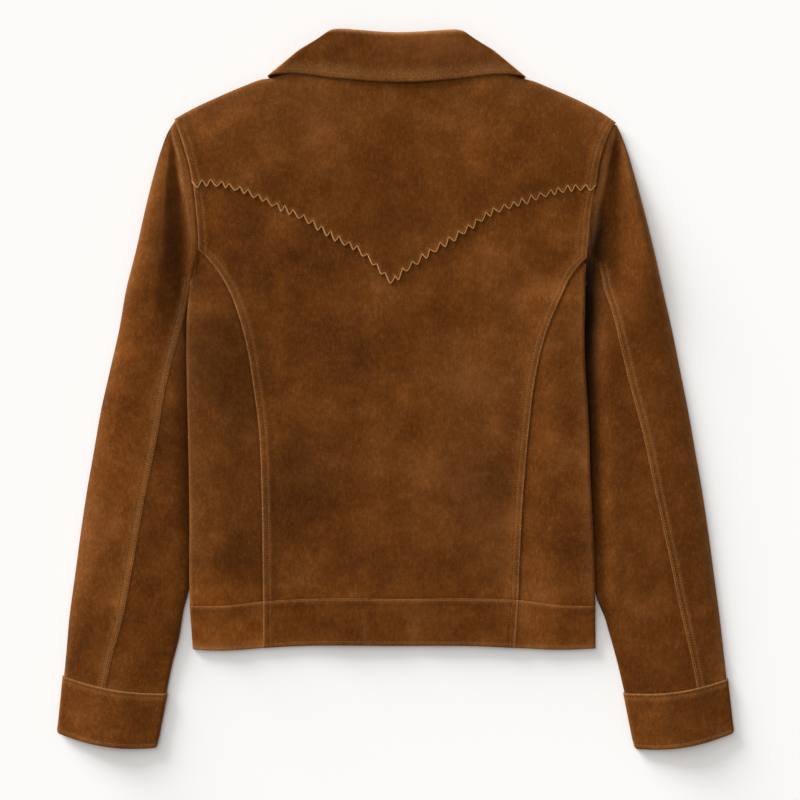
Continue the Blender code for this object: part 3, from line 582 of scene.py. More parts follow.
def centre_back():
    rows = []
    columns = len(NEAR_EDGE) * 2 + BACK_COLUMNS - 2
    top = between(PRINCESS_TOP["left"], PRINCESS_TOP["right"], np.linspace(0, 1, columns))
    for start, share in back_rows(BACK_ROWS)[:-1]:
        ends = [between(BAND_LEVEL + start, PRINCESS_TOP[side], share) for side in OUTWARD]
        x = seamed(*(along(PRINCESS[side], end) for side, end in zip(OUTWARD, ends)), BACK_COLUMNS)
        rows.append((x, between(along(BAND_SEAM, x) + start, top, share)))
    rows += shoulder_rows(top - 1.0)
    x, y = np.array(rows).transpose(1, 0, 2)
    # Wear on the lapped edges, painted highlight on the folds, painted highlight on the right-hand edges facing
    # away from the light, and the painted shadow line above the band.
    wear_and_painted_shading = np.maximum(wear_and_highlight(back_edge_distance(x, y)), fold_highlight(x, y))
    wear_and_painted_shading += 0.16 * bell(side_edge_distance("right", x, y), 1.5) - shade_above_band(x, y)
    return hide("centre_back", "back_centre", grid(x, y, centre_height(x, y)), wear_and_painted_shading)


centre_back()

# %% [markdown]
# ## The side backs
# Each side back runs from the princess seam to the fold at the body's side, where the front begins. Its
# inner edge goes on below the centre back, as a sewn lap does. Two edges that only met would be simpler,
# but light would show through the seam. Its top runs out to a point at the armhole.

# %% Make the side backs
BESIDE_SEAM = UNDERLAP + np.array([5.5, 4.2, 3.4, 2.8, 2.2, 1.6, 0.9, 0, -2.0, -3.6, -5.0])
SIDE_COLUMNS = 24
SIDE_ROWS = 110
TIP_WIDTH = 30.0  # where a row is narrower than this, its columns spread evenly


def side_back(side):
    out = OUTWARD[side]
    start, share = np.array(back_rows(SIDE_ROWS)).T[..., None]
    level = between(BAND_LEVEL + start, PRINCESS_TOP[side] - 1.0, share)
    edge = along(BODY_EDGE[side], level)
    seam = along(PRINCESS[side], level) - out * UNDERLAP
    width = np.abs(edge - seam)
    turn = np.append(FOLD * FOLD_TURN[::-1], [4.5, 6.0, 8.0])
    turned = np.minimum(turn, width * np.linspace(0, 0.9, len(turn)))
    flat = between(turned[:, -1:], width - BESIDE_SEAM[0], np.linspace(0, 1, SIDE_COLUMNS)[None, 1:-1])
    flat = np.concatenate([flat, width - BESIDE_SEAM[None, :]], axis=1)
    spread = between(turned[:, -1:], width, np.linspace(0, 1, flat.shape[1] + 1)[None, 1:])
    x = edge - out * np.concatenate([turned, np.maximum(flat, spread * (width < TIP_WIDTH))], axis=1)
    y = between(along(BAND_SEAM, x) + start, PRINCESS_TOP[side] - 1.0, share)
    from_armhole = np.where(y > UNDERARM[side], FAR, np.clip(inside(side, x, y), 0, None))
    z = body_top(x, y) - 0.7 * (1 - roll(from_armhole, 1.2))
    # Painted highlight along the side fold, painted shadow beside the centre back's lap and the painted shadow
    # line above the band.
    wear_and_painted_shading = fold_highlight(x, y) - painted_shade_line(out * across(PRINCESS[side], x, y)) - shade_above_band(x, y)
    wear_and_painted_shading += 0.32 * bell(from_armhole, 1.2)
    return hide(f"side_back_{side}", f"back_side_{side}", grid(x, y, z), wear_and_painted_shading)


for side in OUTWARD:
    side_back(side)

# %% [markdown]
# ## The fronts
# The fronts lie on the table and hardly show. They could be left out, but they hold the shape when the
# jacket is seen from low down. Each goes from the side fold to the centre front, where the two meet edge to
# edge.

# %% Make the fronts
FRONT_SCOOP = 12.0  # how much further in the front's armhole is cut
FRONT_APART = 0.3  # from the centre front to each front's edge
SETTLED = 0.05  # how far the lowest hide settles into the table


def front_armhole(side, y):
    share = np.clip((y - SHOULDER[side][1]) / (UNDERARM[side] - SHOULDER[side][1]), 0, 1)
    return along(BODY_EDGE[side], y) - OUTWARD[side] * FRONT_SCOOP * 4 * share * (1 - share)


def front(side):
    out = OUTWARD[side]
    turn = FOLD * FOLD_TURN[::-1]
    spans = np.linspace(0, 1, 36)[1:]
    centre = CENTRE_FRONT + out * FRONT_APART

    def row(edge):
        return np.concatenate([edge - out * turn, between(edge - out * FOLD, centre, spans)])

    x, y = [], []
    for share in np.linspace(0, 1, 56)[:-1]:
        level = between(BAND_LEVEL + UNDERLAP, UNDERARM[side], share)
        x.append(row(along(BODY_EDGE[side], level)))
        y.append(between(along(BAND_SEAM, x[-1]) + UNDERLAP, UNDERARM[side], share))
    top_x = row(SHOULDER[side][0])
    neck = (top_x > NECK_POINTS[0]) & (top_x < NECK_POINTS[1])
    top_y = np.where(neck, along(FRONT_NECK, top_x), along(BACK_TOP, top_x))
    ends = 1 - FOLD * FOLD_TURN / (UNDERARM[side] - SHOULDER[side][1])
    for share in np.concatenate([np.linspace(0, ends[0], 30)[:-1], ends]):
        level = between(UNDERARM[side], SHOULDER[side][1], share)
        x.append(row(front_armhole(side, level)))
        y.append(between(UNDERARM[side], top_y, share))
    x, y = np.array(x), np.array(y)
    points = grid(x, y, body_bottom(x, y) - SETTLED)
    return hide(f"front_{side}", f"front_{side}", points, column=-2, way=-1)


for side in OUTWARD:
    front(side)

# %% [markdown]
# ## The hem band
# The band is a doubled strip that finishes the hem. Its upper edge laps over the body and is stitched down
# close to the edge; its lower edge is a fold with another row of stitches above it. The centre stretch laps
# over the side ones in line with the princess seams. The band could be cut from the body's own grid, but as
# a sheet of its own it has a real edge to catch the light. The fronts have their own stretches below, which
# meet at the centre front.

# %% Make the hem band
BAND_STITCH = 1.9  # from the band's upper edge to its stitches
BAND_LAP, BAND_GROOVE = 0.95, 0.1
HEM_STITCH = 4.0  # and from the hem
HEM_GROOVE = 0.2
HEM_ROUND = (1.3, 1.6)  # how far the hem is rounded down, and over what width
PRINCESS_LAP = 0.8
# How much lighter each stretch is made along its upper edge, by wear, and along the hem, by wear and a
# painted highlight on the hem's fold.
BAND_WEAR_AND_HIGHLIGHT = {"band_centre": (0.02, 0.12), "band_side_left": (0.09, 0.38), "band_side_right": (0.09, 0.22)}
BAND_ROWS = np.array([0.0, 0.3, 0.8, 1.4, 1.9, 2.4, 3.0, 4.0, 5.2, 7.0])
HEM_ROWS = np.array([9.0, 7.0, 5.4, 4.6, 4.0, 3.4, 2.6, 1.6, 1.2, 0.8, 0.4, 0.1, 0.0])


def band_rows(x):
    """The levels of the band's rows at places across it, close together by both edges."""
    top, bottom = along(BAND_SEAM, x), along(HEM, x)
    rows = [top + at for at in BAND_ROWS]
    first, last = top + BAND_ROWS[-1], bottom - HEM_ROWS[0]
    rows += [between(last, first, share) for share in np.linspace(1, 0, 10)[1:-1]]
    rows += [bottom - at for at in HEM_ROWS]
    return np.array(rows)


def princess_distance(x, y):
    """How far the band's centre stretch is inside the princess seams."""
    return np.minimum(across(PRINCESS["left"], x, y), -across(PRINCESS["right"], x, y))


def side_band_height(x, y):
    """The outer side of the band: its lapped upper edge, then the groove and the fold at the hem."""
    hem = -below(HEM, x, y)
    lap = lapped(below(BAND_SEAM, x, y), BAND_LAP, BAND_STITCH, BAND_GROOVE)
    groove = HEM_GROOVE * bell(hem - HEM_STITCH, GROOVE_WIDE)
    return body_top(x, y) + (lap - groove - HEM_ROUND[0] * (1 - roll(hem, HEM_ROUND[1])))


def centre_band_height(x, y):
    return side_band_height(x, y) + lapped(princess_distance(x, y), PRINCESS_LAP)


def seam_end(side, shift=0.0):
    return lambda y: along(PRINCESS[side], y) - OUTWARD[side] * shift


def fold_end(side):
    return lambda y: along(BODY_EDGE[side], y) - OUTWARD[side] * 0.02


def band(name, node, left, right):
    """A stretch of the back's band. left and right give the places of its ends at a level."""
    width = float(right(625.0) - left(625.0))
    shares = seamed(0.0, width, 40) / width
    y = band_rows(np.full(len(shares), 395.0))
    for _ in range(3):
        x = between(left(y[:, :1]), right(y[:, -1:]), shares[None, :])
        y = np.array([row[k] for k, row in enumerate(map(band_rows, x))])
    by_seam, by_hem = BAND_WEAR_AND_HIGHLIGHT[name]
    hem = -below(HEM, x, y)
    # Lighter towards the hem: wear, with a painted highlight on the hem's fold, which faces away from the
    # light.
    hem_wear_and_highlight = by_hem * (bell(hem, 6) + 0.8 * bell(hem, 1.6))
    wear_and_painted_shading = np.maximum(wear_and_highlight(below(BAND_SEAM, x, y), by_seam, 1.5, BAND_STITCH), hem_wear_and_highlight)
    z = side_band_height(x, y)
    if name == "band_centre":
        z = centre_band_height(x, y)
        wear_and_painted_shading = np.maximum(wear_and_painted_shading, wear_and_highlight(princess_distance(x, y), 0.5, 1.3, FAR))
        # A painted highlight on the edge at the right princess seam, which faces away from the light.
        wear_and_painted_shading += 0.55 * bell(across(PRINCESS["right"], x, y), 1.7)
    return hide(name, node, grid(x, y, z), wear_and_painted_shading)


band("band_centre", "band_back_centre", seam_end("left"), seam_end("right"))
band("band_side_left", "band_side_left", fold_end("left"), seam_end("left", UNDERLAP))
band("band_side_right", "band_side_right", seam_end("right", UNDERLAP), fold_end("right"))

# %% Make the band of the fronts
BAND_FRONT_LEVELS = (606.0, 648.0)


def band_front(side):
    run = np.append(FOLD * FOLD_TURN[::-1], np.linspace(6, 200, 40))
    share = np.linspace(0, 1, 16)[:, None]
    edge = along(BODY_EDGE[side], between(*BAND_FRONT_LEVELS, share))
    x = between(edge, CENTRE_FRONT + OUTWARD[side] * FRONT_APART, run[None, :] / run[-1])
    y = between(along(BAND_SEAM, x), along(HEM, x), share)
    points = grid(x, y, body_bottom(x, y) - SETTLED)
    return hide(f"band_front_{side}", f"band_front_{side}", points, column=-2, way=-1)


for side in OUTWARD:
    band_front(side)

# %% [markdown]
# ## The sleeves
# A two-piece sleeve lies as a flattened tube. At the armhole the seam turns towards the sleeve and makes a
# raised strip along its head; beside the strip the hide drops into a hollow, then swells over the sleeve's
# middle. Below the underarm the inner fold is tucked under the body. The top sleeve laps over the under
# sleeve at the back seam. The tube could be squeezed flat by a simulation. A height for each place is chosen
# instead, because both sleeve panels and their stitches then share one surface.

# %% The sleeve's height
SLEEVE_CROWN = 12.0  # height over the middle of the lower sleeve
SLEEVE_DOME = 16.0  # how far the sleeve's head swells above its hollow
DOME_REACH = {"left": (0.08, 0.54), "right": (0.36, 0.9)}  # shares of the way out between which it swells
SLEEVE_LAP = {"left": 0.6, "right": 0.8}
OUTER_ROLL = {"left": 21.0, "right": 10.0}
INNER_ROLL = 19.0
SLEEVE_FOLD = 4.5  # radius of the inner fold, and of the outer one at the cuff
RIDGE = 9.4  # height of the raised strip beside the armhole
STRIP_STEP = 2.2  # how far it drops at its outer edge
HOLLOW = 3.4
TUCKED = 2.4  # how far the sleeve's edge runs on below the body
SLEEVE_WAVES = ((90, 0.6, 11), (40, 0.2, 12))
TIGHTENS = (300, 420)  # levels between which the roll from below the body gets narrower,
FLATTENS = (380, 660)  # the sleeve gets flatter,
COMES_OUT = (560, 612)  # its inner edge comes out from below the body,
TO_CUFF = (615, 672)  # it takes the cuff's shape,
FOLD_TO_CUFF = (610, 672)  # and its outer fold that of the cuff's


def sleeve_distances(side, x, y):
    outer = np.clip((along(SLEEVE_OUTER[side], y) - x) * OUTWARD[side], 0, None)
    inner = np.clip((x - along(SLEEVE_INNER[side], np.maximum(y, UNDERARM[side]))) * OUTWARD[side], 0, None)
    return outer, np.hypot(inner, np.clip(UNDERARM[side] - y, 0, None))


def strip_width(side, y):
    return np.abs(along(RIDGE_EDGE[side], y) - along(BODY_EDGE[side], y))


def sleeve_head(side, y, outer, over):
    """Above the underarm: the strip beside the armhole, the hollow, and the swell up to the outer fold."""
    strip = strip_width(side, y)
    on = 1 - past(y, UNDERARM[side], (-24, 12))
    run = np.maximum(over + outer - strip * on, 1)
    share = np.clip((over - strip * on) / run, 0, 1)
    dome = np.maximum(SLEEVE_DOME * rise(run, -10, 44) - HOLLOW, 0)
    near, far = DOME_REACH[side]
    step = STRIP_STEP * (1 - past(over, strip, (-0.4, 1.3)))
    slope = (RIDGE - STRIP_STEP - HOLLOW) * (1 - rise(share, 0, near + 0.08))
    return HOLLOW + (step + slope) * on + dome * rise(share, near, far)


def sleeve_tube(side, y, outer, inner, over):
    """Below the underarm: a soft tube that rises from below the body's edge."""
    crown = between(SLEEVE_DOME - 2, SLEEVE_CROWN, rise(y, *FLATTENS))
    near = between(over, inner, rise(y, *COMES_OUT))
    reach = INNER_ROLL * (1 + 0.8 * (1 - rise(y, *TIGHTENS)))
    rising = roll(near + 1.5, reach) if side == "left" else rise(near, 0, 1.25 * INNER_ROLL)
    return HOLLOW + 1 + (crown - HOLLOW - 1) * rising * roll(outer, 40.0)


def cuff_swell(outer, inner):
    """How far the sleeve's end and the cuff swell, from 0 on both folds to 1 over the middle."""
    return rise(outer, 0, CROWN) * rise(inner, 2, 46)


def sleeve_top(side, x, y):
    """The outer side of a sleeve's upper half, before its seams."""
    start = UNDERARM[side]
    outer, inner = sleeve_distances(side, x, y)
    over = np.clip(-inside(side, x, y), 0, None)
    tube = sleeve_tube(side, y, outer, inner, over)
    high = between(sleeve_head(side, y, outer, over), tube, past(y, start, (-10, 70)))
    high = high + waves(x, y, SLEEVE_WAVES) * rise(outer, 5, 30) * rise(over, 12, 40)
    high = between(high, EDGE + (SLEEVE_CROWN - EDGE) * cuff_swell(outer, inner), rise(y, *TO_CUFF))
    dip = 1.6 * (1 - rise(-inside(side, x, y), -0.8, 1.2)) * (1 - past(y, start, (-30, -6)))
    radius = between(OUTER_ROLL[side], SLEEVE_FOLD, rise(y, *FOLD_TO_CUFF))
    high = FOLD + (high - dip - FOLD) * roll(outer, radius)
    return FOLD + (high - FOLD) * np.where(y < start - SLEEVE_FOLD, 1, roll(inner, SLEEVE_FOLD))


def sleeve_under(side, x, y):
    outer, inner = sleeve_distances(side, x, y)
    return FOLD * (1 - roll(np.minimum(outer, inner), FOLD))


def back_seam_distance(side, x, y):
    return OUTWARD[side] * across(SLEEVE_SEAM[side], x, y)


def top_sleeve_height(side, x, y):
    on = past(y, SEAM_START[side], (4, 40))
    return sleeve_top(side, x, y) + on * lapped(back_seam_distance(side, x, y), SLEEVE_LAP[side])


print("left sleeve at its middle:", round(float(top_sleeve_height("left", 120.0, 450.0)), 1), "mm high")

# %% [markdown]
# ## Top sleeve and under sleeve
# The top sleeve is one sheet that starts at the armhole and the back seam, turns over the outer fold and
# comes back beneath to the inner fold. The under sleeve fills the upper side between the back seam and the
# inner fold.

# %% Make the sleeves
SLEEVE_ROWS = 190
# How much lighter a top sleeve is made: on its back seam's edge by wear, on the strip beside that seam, and
# on its outer fold by a painted highlight.
SLEEVE_WEAR_AND_HIGHLIGHT = {"left": (0.36, 0.1, 0.12), "right": (0.3, 0.0, 0.30)}


def inner_edge(side, y, above):
    armhole = along(BODY_EDGE[side], y) if above else front_armhole(side, y)
    return np.where(y < UNDERARM[side], armhole, along(SLEEVE_INNER[side], y))


def sleeve_rows(side, start):
    """Levels of a sleeve's rows at its outer fold, back seam and inner fold, from a level of the seam on."""
    shares = np.linspace(0, 1, SLEEVE_ROWS)[:, None]
    first = SHOULDER[side][1] + 1.2
    rails = [CUFF_SEAM_OUTER[side], CUFF_SEAM_BACK[side], CUFF_SEAM_INNER[side]]
    outer, seam, inner = (between(first, rail + UNDERLAP, shares) for rail in rails)
    kept = seam[:, 0] >= start
    return outer[kept], seam[kept], inner[kept]


def sleeve_wear_and_shading(side, x, y, from_fold):
    """Where a top sleeve is made lighter or darker: wear on its back seam, painted highlight on the strip by
    the armhole and on its crease, painted shade along the armhole, and painted highlight on its outer fold.
    """
    start = SEAM_START[side]
    by_edge, by_strip, by_fold = SLEEVE_WEAR_AND_HIGHLIGHT[side]
    from_seam = back_seam_distance(side, x, y)
    seam = wear_and_highlight(from_seam, by_edge) + by_strip * (1 - rise(from_seam, 7, 10))
    seam = seam * past(y, start, (8, 30))
    over, width = -inside(side, x, y), strip_width(side, y)
    # Painted highlight on the raised strip beside the armhole and on the crease at its outer edge, and painted
    # shade along the armhole seam, fading out towards the underarm.
    strip = 0.13 * rise(over, 0, 3) * (1 - past(over, width, (-0.5, 0.7)))
    crease_highlight = 0.30 * bell(over - width, 1.1) * (1 - past(y, start, (-70, -40)))
    strip = (strip + crease_highlight - painted_shade_line(over, 0.25)) * (1 - past(y, UNDERARM[side], (-50, -16)))
    return np.maximum(np.maximum(seam, strip), wear_and_highlight(from_fold, by_fold, 6.0, FAR))


def top_sleeve(side):
    out = OUTWARD[side]
    outer, seam, inner = sleeve_rows(side, 0)
    fold_x = along(SLEEVE_OUTER[side], outer)
    tucked = inner_edge(side, seam, True) - out * TUCKED
    seam_x = along(SLEEVE_SEAM[side], seam)
    start_x = np.where(seam < SEAM_START[side], tucked, out * np.maximum(out * seam_x, out * tucked))
    width = np.maximum(np.abs(fold_x - start_x), 0.5)
    near = np.minimum(NEAR_EDGE[None, :] * 1.15, width * np.linspace(0, 0.5, len(NEAR_EDGE)))
    turn = np.minimum(SLEEVE_FOLD * FOLD_TURN, width * np.linspace(0.4, 0, len(FOLD_TURN)))
    flat = between(near[:, -1:], width - turn[:, :1], np.linspace(0, 1, 28)[None, 1:-1])
    at = np.concatenate([near, flat, width - turn], axis=1)
    x_top, y_top = start_x + out * at, between(seam, outer, at / width)
    wear_and_painted_shading = sleeve_wear_and_shading(side, x_top, y_top, width - at)
    end_x = inner_edge(side, inner, False)
    under_width = np.abs(fold_x - end_x)
    turn = np.minimum(FOLD * FOLD_TURN[-2::-1], under_width * np.linspace(0.05, 0.4, len(FOLD_TURN) - 1))
    middle = between(turn[:, -1:], under_width - turn[:, -1:], np.linspace(0, 1, 16)[None, 1:-1])
    at = np.concatenate([turn, middle, under_width - turn[:, ::-1], under_width], axis=1)
    x_under, y_under = fold_x - out * at, between(outer, inner, at / under_width)
    above = grid(x_top, y_top, top_sleeve_height(side, x_top, y_top))
    beneath = grid(x_under, y_under, sleeve_under(side, x_under, y_under))
    wear_and_painted_shading = np.concatenate([wear_and_painted_shading, 0 * x_under], axis=1)
    points = np.concatenate([above, beneath], axis=1)
    return hide(f"top_sleeve_{side}", f"sleeve_upper_{side}", points, wear_and_painted_shading, 20)


def under_sleeve(side):
    out, start = OUTWARD[side], SEAM_START[side]
    _, seam, inner = sleeve_rows(side, start - 4)
    end_x = inner_edge(side, inner, True) - out * TUCKED * (1 - past(inner, UNDERARM[side], (-8, 4)))
    seam_x = along(SLEEVE_SEAM[side], seam) + out * UNDERLAP * past(seam, start, (0, 20))
    width = np.maximum((seam_x - end_x) * out, 0.5)
    turn = np.minimum(SLEEVE_FOLD * FOLD_TURN[::-1], width * np.linspace(0, 0.6, len(FOLD_TURN)))
    flat = between(turn[:, -1:], width, np.linspace(0, 1, 32)[None, 1:])
    at = np.concatenate([turn, flat], axis=1)
    x, y = end_x + out * at, between(inner, seam, at / width)
    z = sleeve_top(side, x, y) - 0.15 * (1 - past(y, start, (20, 50)))
    return hide(f"under_sleeve_{side}", f"sleeve_under_{side}", grid(x, y, z), column=-8)


for side in OUTWARD:
    top_sleeve(side)
    under_sleeve(side)

# %% [markdown]
# ## The cuffs
# A cuff is a doubled ring, a little wider than the sleeve. Its upper edge laps over the sleeve and is
# stitched down; its open end is folded and stitched. Two flat sheets would be simpler, but would gape at the
# sides. Closed rings of points let both folds round as one piece.

# %% Make the cuffs
CUFF_STITCH = 3.8
CUFF_CORNER = 3.0
CUFF_HIDE = 1.8  # the cuff's doubled hide
CUFF_FOLD = FOLD + 0.5
CUFF_ROWS = np.concatenate([
    [0, 0.3, 0.8, 1.6, 2.6, 3.3, 3.8, 4.4, 5.4, 7, 9], np.linspace(12, 43, 11),
    [44.5, 46, 46.7, 47.2, 48, 49, 49.7, 50.2, 50.4],
])


def cuff_corners(side):
    """Places of the cuff's upper edge at the inner fold, the back seam and the outer fold."""
    out = OUTWARD[side]
    y = np.array([CUFF_SEAM_INNER[side], CUFF_SEAM_BACK[side], CUFF_SEAM_OUTER[side]])
    rails = (SLEEVE_INNER[side], SLEEVE_SEAM[side], SLEEVE_OUTER[side])
    x = np.array([along(rail, level) for rail, level in zip(rails, y)])
    return x + out * CUFF_STEP * np.array([-1, 0, 1]), y


def cuff_place(side, at, share, above=True):
    """A place on the cuff: at is the share of the way from inner to outer fold, share is how far down."""
    x, y = cuff_corners(side)
    outer_end, inner_end = (np.array(corner) for corner in CUFF_END[side])
    first = between(np.array([x[0], y[0]]), inner_end, share)
    last = between(np.array([x[2], y[2]]), outer_end, share)
    turn = (x[1] - x[0]) / (x[2] - x[0])
    straight = between(y[0], y[2], at)
    bow = (y[1] - between(y[0], y[2], turn)) / (turn * (1 - turn))
    bent = straight + bow * at * (1 - at) if above else straight
    sag = CUFF_END_SAG * 4 * at * (1 - at)
    place_y = between(first[1], last[1], at) + between(bent - straight, sag, share)
    length = np.hypot(*(last - first))
    corner = CUFF_CORNER * (1 - roll(np.minimum(at, 1 - at) * length, CUFF_CORNER)) * rise(share, 0.8, 1)
    return between(first[0], last[0], at), place_y - corner, length


def cuff_high(at, share, length):
    """The height of the cuff's upper side."""
    depth = share * CUFF_ROWS[-1]
    high = EDGE + (SLEEVE_CROWN - EDGE) * cuff_swell((1 - at) * length, at * length) + LAP
    end = CUFF_ROWS[-1] - depth
    grooves = bell(depth - CUFF_STITCH, GROOVE_WIDE) + 0.8 * bell(end - CUFF_STITCH, GROOVE_WIDE)
    high = high - GROOVE * grooves - 0.7 * (1 - roll(depth, 1.2)) - 1.2 * (1 - roll(end, 2.0))
    return high + (1 - rise(depth, 6, 14)) * 0.25


def cuff(side):
    rows, wear_and_painted_shading = [], []
    for depth in CUFF_ROWS:
        share = depth / CUFF_ROWS[-1]
        length = cuff_place(side, 0.0, share)[2]
        ends = CUFF_FOLD * FOLD_TURN / length
        places = np.concatenate([ends[::-1], np.linspace(ends[0], 1 - ends[0], 34)[1:-1], 1 - ends])
        row = []
        for above, at in ((True, places), (False, places[-2:0:-1])):
            x, y, _ = cuff_place(side, at, share, above)
            near = np.minimum(at, 1 - at) * length
            high = cuff_high(at, share, length) if above else 0.0
            row.append(grid(x, y, CUFF_FOLD + (high - CUFF_FOLD) * roll(near, CUFF_FOLD)))
        rows.append(np.concatenate(row))
        edge = wear_and_highlight(depth, 0.45, 1.5, CUFF_STITCH) + wear_and_highlight(CUFF_ROWS[-1] - depth, 0.25, 1.5, CUFF_STITCH)
        wear_and_painted_shading.append(np.concatenate([np.full(len(places), edge), np.zeros(len(places) - 2)]))
    name = f"cuff_{side}"
    return hide(name, name, np.array(rows), np.array(wear_and_painted_shading), 20, closed=True, wall=CUFF_HIDE)


for side in OUTWARD:
    cuff(side)

# %% [markdown]
# ## The yoke
# The western yoke is one piece with a point at the middle of the back. Its lower edge is cut with pinking
# shears and left raw, so the lighter inside of the hide shows as a thin line round each tooth. It is a
# thinner sheet laid on the centre back and caught in the armhole, shoulder and neck seams. The teeth could
# be cut out with a Boolean, but here the rows of points near the edge are bent into them, so the cut can be
# followed and coloured. The teeth point down the back, and those on the right lean a little with the curve.

# %% Cut the teeth
TEETH = 44
TOOTH_POINTS = 12
TOOTH_DEPTH = 6.9
TOOTH_FADE = 11.0  # how far above the edge the rows are straight again
TOOTH_OUT = 0.9
TOOTH_LEAN = 0.35
TOOTH_UNEVEN = (0.74, 1.12)
NOTCH_SHIFT = 0.13  # the most that a notch is off its place, in teeth


def tooth_shape(share):
    """How far the edge is moved out at a share of its length: about -1 in a notch, 1 on a tooth's round tip."""
    rng = np.random.default_rng(5)
    uneven = rng.uniform(*TOOTH_UNEVEN, TEETH + 2)
    notches = np.arange(TEETH + 1) + rng.uniform(-NOTCH_SHIFT, NOTCH_SHIFT, TEETH + 1)
    at = np.interp(share * TEETH, notches, np.arange(TEETH + 1))
    k = np.clip(at.astype(int), 0, TEETH)
    s = at - k
    pointed, rounded = 1 - np.abs(2 * s - 1), np.sin(np.pi * s)
    return (0.9 * pointed + 1.1 * rounded - 1) * uneven[k]


def edge_distance(x, y):
    """The distance of each of a grid's points to the grid's first row, taken as a line."""
    count = x.shape[1]
    fine = np.linspace(0, count - 1, 4 * (count - 1) + 1)
    edge_x, edge_y = (np.interp(fine, np.arange(count), row) for row in (x[0], y[0]))
    nearest = np.full(x.shape, FAR)
    for shift in range(-60, 61):
        k = np.clip(4 * np.arange(count) + shift, 0, len(fine) - 1)
        nearest = np.minimum(nearest, np.hypot(x - edge_x[k], y - edge_y[k]))
    return nearest


print("teeth:", TEETH, "each about", round((YOKE_EDGE[-1][0] - YOKE_EDGE[0][0]) / TEETH, 1), "mm wide")

# %% Make the yoke
YOKE_HIDE = 1.1
YOKE_LIFT = 1.25
YOKE_WIDTH = 400.0
STEADY = 12.0  # how far in from each armhole the teeth begin to lean
YOKE_ENDS = (194.3, 594.6)
YOKE_ROWS = 26
RAW_CUT = (0.55, 1.45)  # from the edge, where the pale line of the raw cut fades
RAW_PALE = 2.8
EDGE_ROWS = np.array([0.0, 0.35, 0.8, 1.3, 1.8, 2.2, 2.6, 3.0, 3.5, 4.6, 6.2, 8.4, 11.0])


def normals(points):
    normal = np.cross(np.gradient(points, axis=1), np.gradient(points, axis=0))
    normal = normal / np.maximum(np.linalg.norm(normal, axis=-1, keepdims=True), 1e-12)
    return normal * np.sign(normal[..., 2].sum())


def tooth_rows(share):
    """Rows of places near the toothed edge, whose ends keep to the armholes."""
    low_x = between(*YOKE_ENDS, share)
    edge_y = along(YOKE_EDGE, low_x)
    slope = np.gradient(edge_y, low_x)
    inner_share = rise(share * YOKE_WIDTH, 0, STEADY) * rise((1 - share) * YOKE_WIDTH, 0, STEADY)
    lean = -slope / np.hypot(slope, 1) * inner_share * TOOTH_LEAN * rise(share, 0.5, 0.62)
    rows = []
    for at in EDGE_ROWS:
        far = tooth_shape(share) * TOOTH_DEPTH / 2 * (1 - rise(at, 0, TOOTH_FADE)) + TOOTH_OUT - at
        y = edge_y + far
        off = [along(BODY_EDGE[side], y[k]) - low_x[k] for side, k in zip(OUTWARD, (0, -1))]
        rows.append((low_x + lean * far + np.where(share < 0.5, *off) * (1 - inner_share), y))
    return rows


def yoke():
    share = np.linspace(0, 1, TEETH * TOOTH_POINTS + 1)
    rows = tooth_rows(share)
    base_x, base_y = rows[-1]
    top_x = between(SHOULDER["left"][0], SHOULDER["right"][0], share)
    for upto, drop in up_and_over(np.linspace(0, 1, YOKE_ROWS)[1:-1]):
        straight = between(*armhole_ends(base_y, upto, drop), share)
        x = straight + (base_x - between(base_x[0], base_x[-1], share)) * (1 - upto)
        rows.append((x, between(base_y, along(BACK_TOP, top_x) + drop, upto)))
    x, y = np.array(rows).transpose(1, 0, 2)
    toothed = len(EDGE_ROWS)
    from_edge = np.full(x.shape, FAR)
    from_edge[:toothed] = edge_distance(x[:toothed], y[:toothed])
    base = grid(x, y, centre_height(x, y))
    curl = 0.25 * (1 - rise(from_edge, 0, 7)) - 0.3 * (1 - roll(from_edge, 0.7))
    points = base + normals(base) * (YOKE_LIFT + curl)[..., None] * MM
    cut = RAW_PALE * (1 - rise(from_edge, *RAW_CUT)) + 0.2 * bell(from_edge - 2.8, 0.45)
    # Pale raw cut, wear on the lapped edges, and the painted highlight on the folds and shoulders.
    wear_and_painted_shading = np.maximum(np.maximum(cut, wear_and_highlight(back_edge_distance(x, y))), fold_highlight(x, y))
    return hide("yoke", "back_yoke", points, wear_and_painted_shading, wall=YOKE_HIDE, plain=toothed - 1)


yoke()

# %% [markdown]
# ## The collar
# The collar is a doubled strip: the stand goes up from the neckline and the fall turns down over it. Lying
# on its front, the jacket shows the fall's back part; its two leaves go round the ends of the neck and lie
# below the fronts. Each row of points follows the whole way from one leaf's tip to the other's.

# %% Make the collar's fall
COLLAR_HIDE = 2.0  # the collar's doubled hide
COLLAR_LENGTH = 46.0
COLLAR_LIFT = 3.4
COLLAR_CORNER = 8.0
COLLAR_STITCH = 4.6
COLLAR_FOLD = 5.5  # radius of its two side folds
RIM = 5.0  # radius of its upper fold
SEAT = 6.0  # how far below the neckline the back's height is taken


def seat_height(x, y):
    seat = np.maximum(y, along(BACK_TOP, x) + SEAT)
    return body_low(x, seat) + EDGE + (LIE - EDGE) * rise(fold_distance(x, seat), 0, CROWN) + HIDE


def fold_places(radius):
    return radius * (1 - np.cos(np.radians([0, 12, 25, 40, 55, 72, 90])))


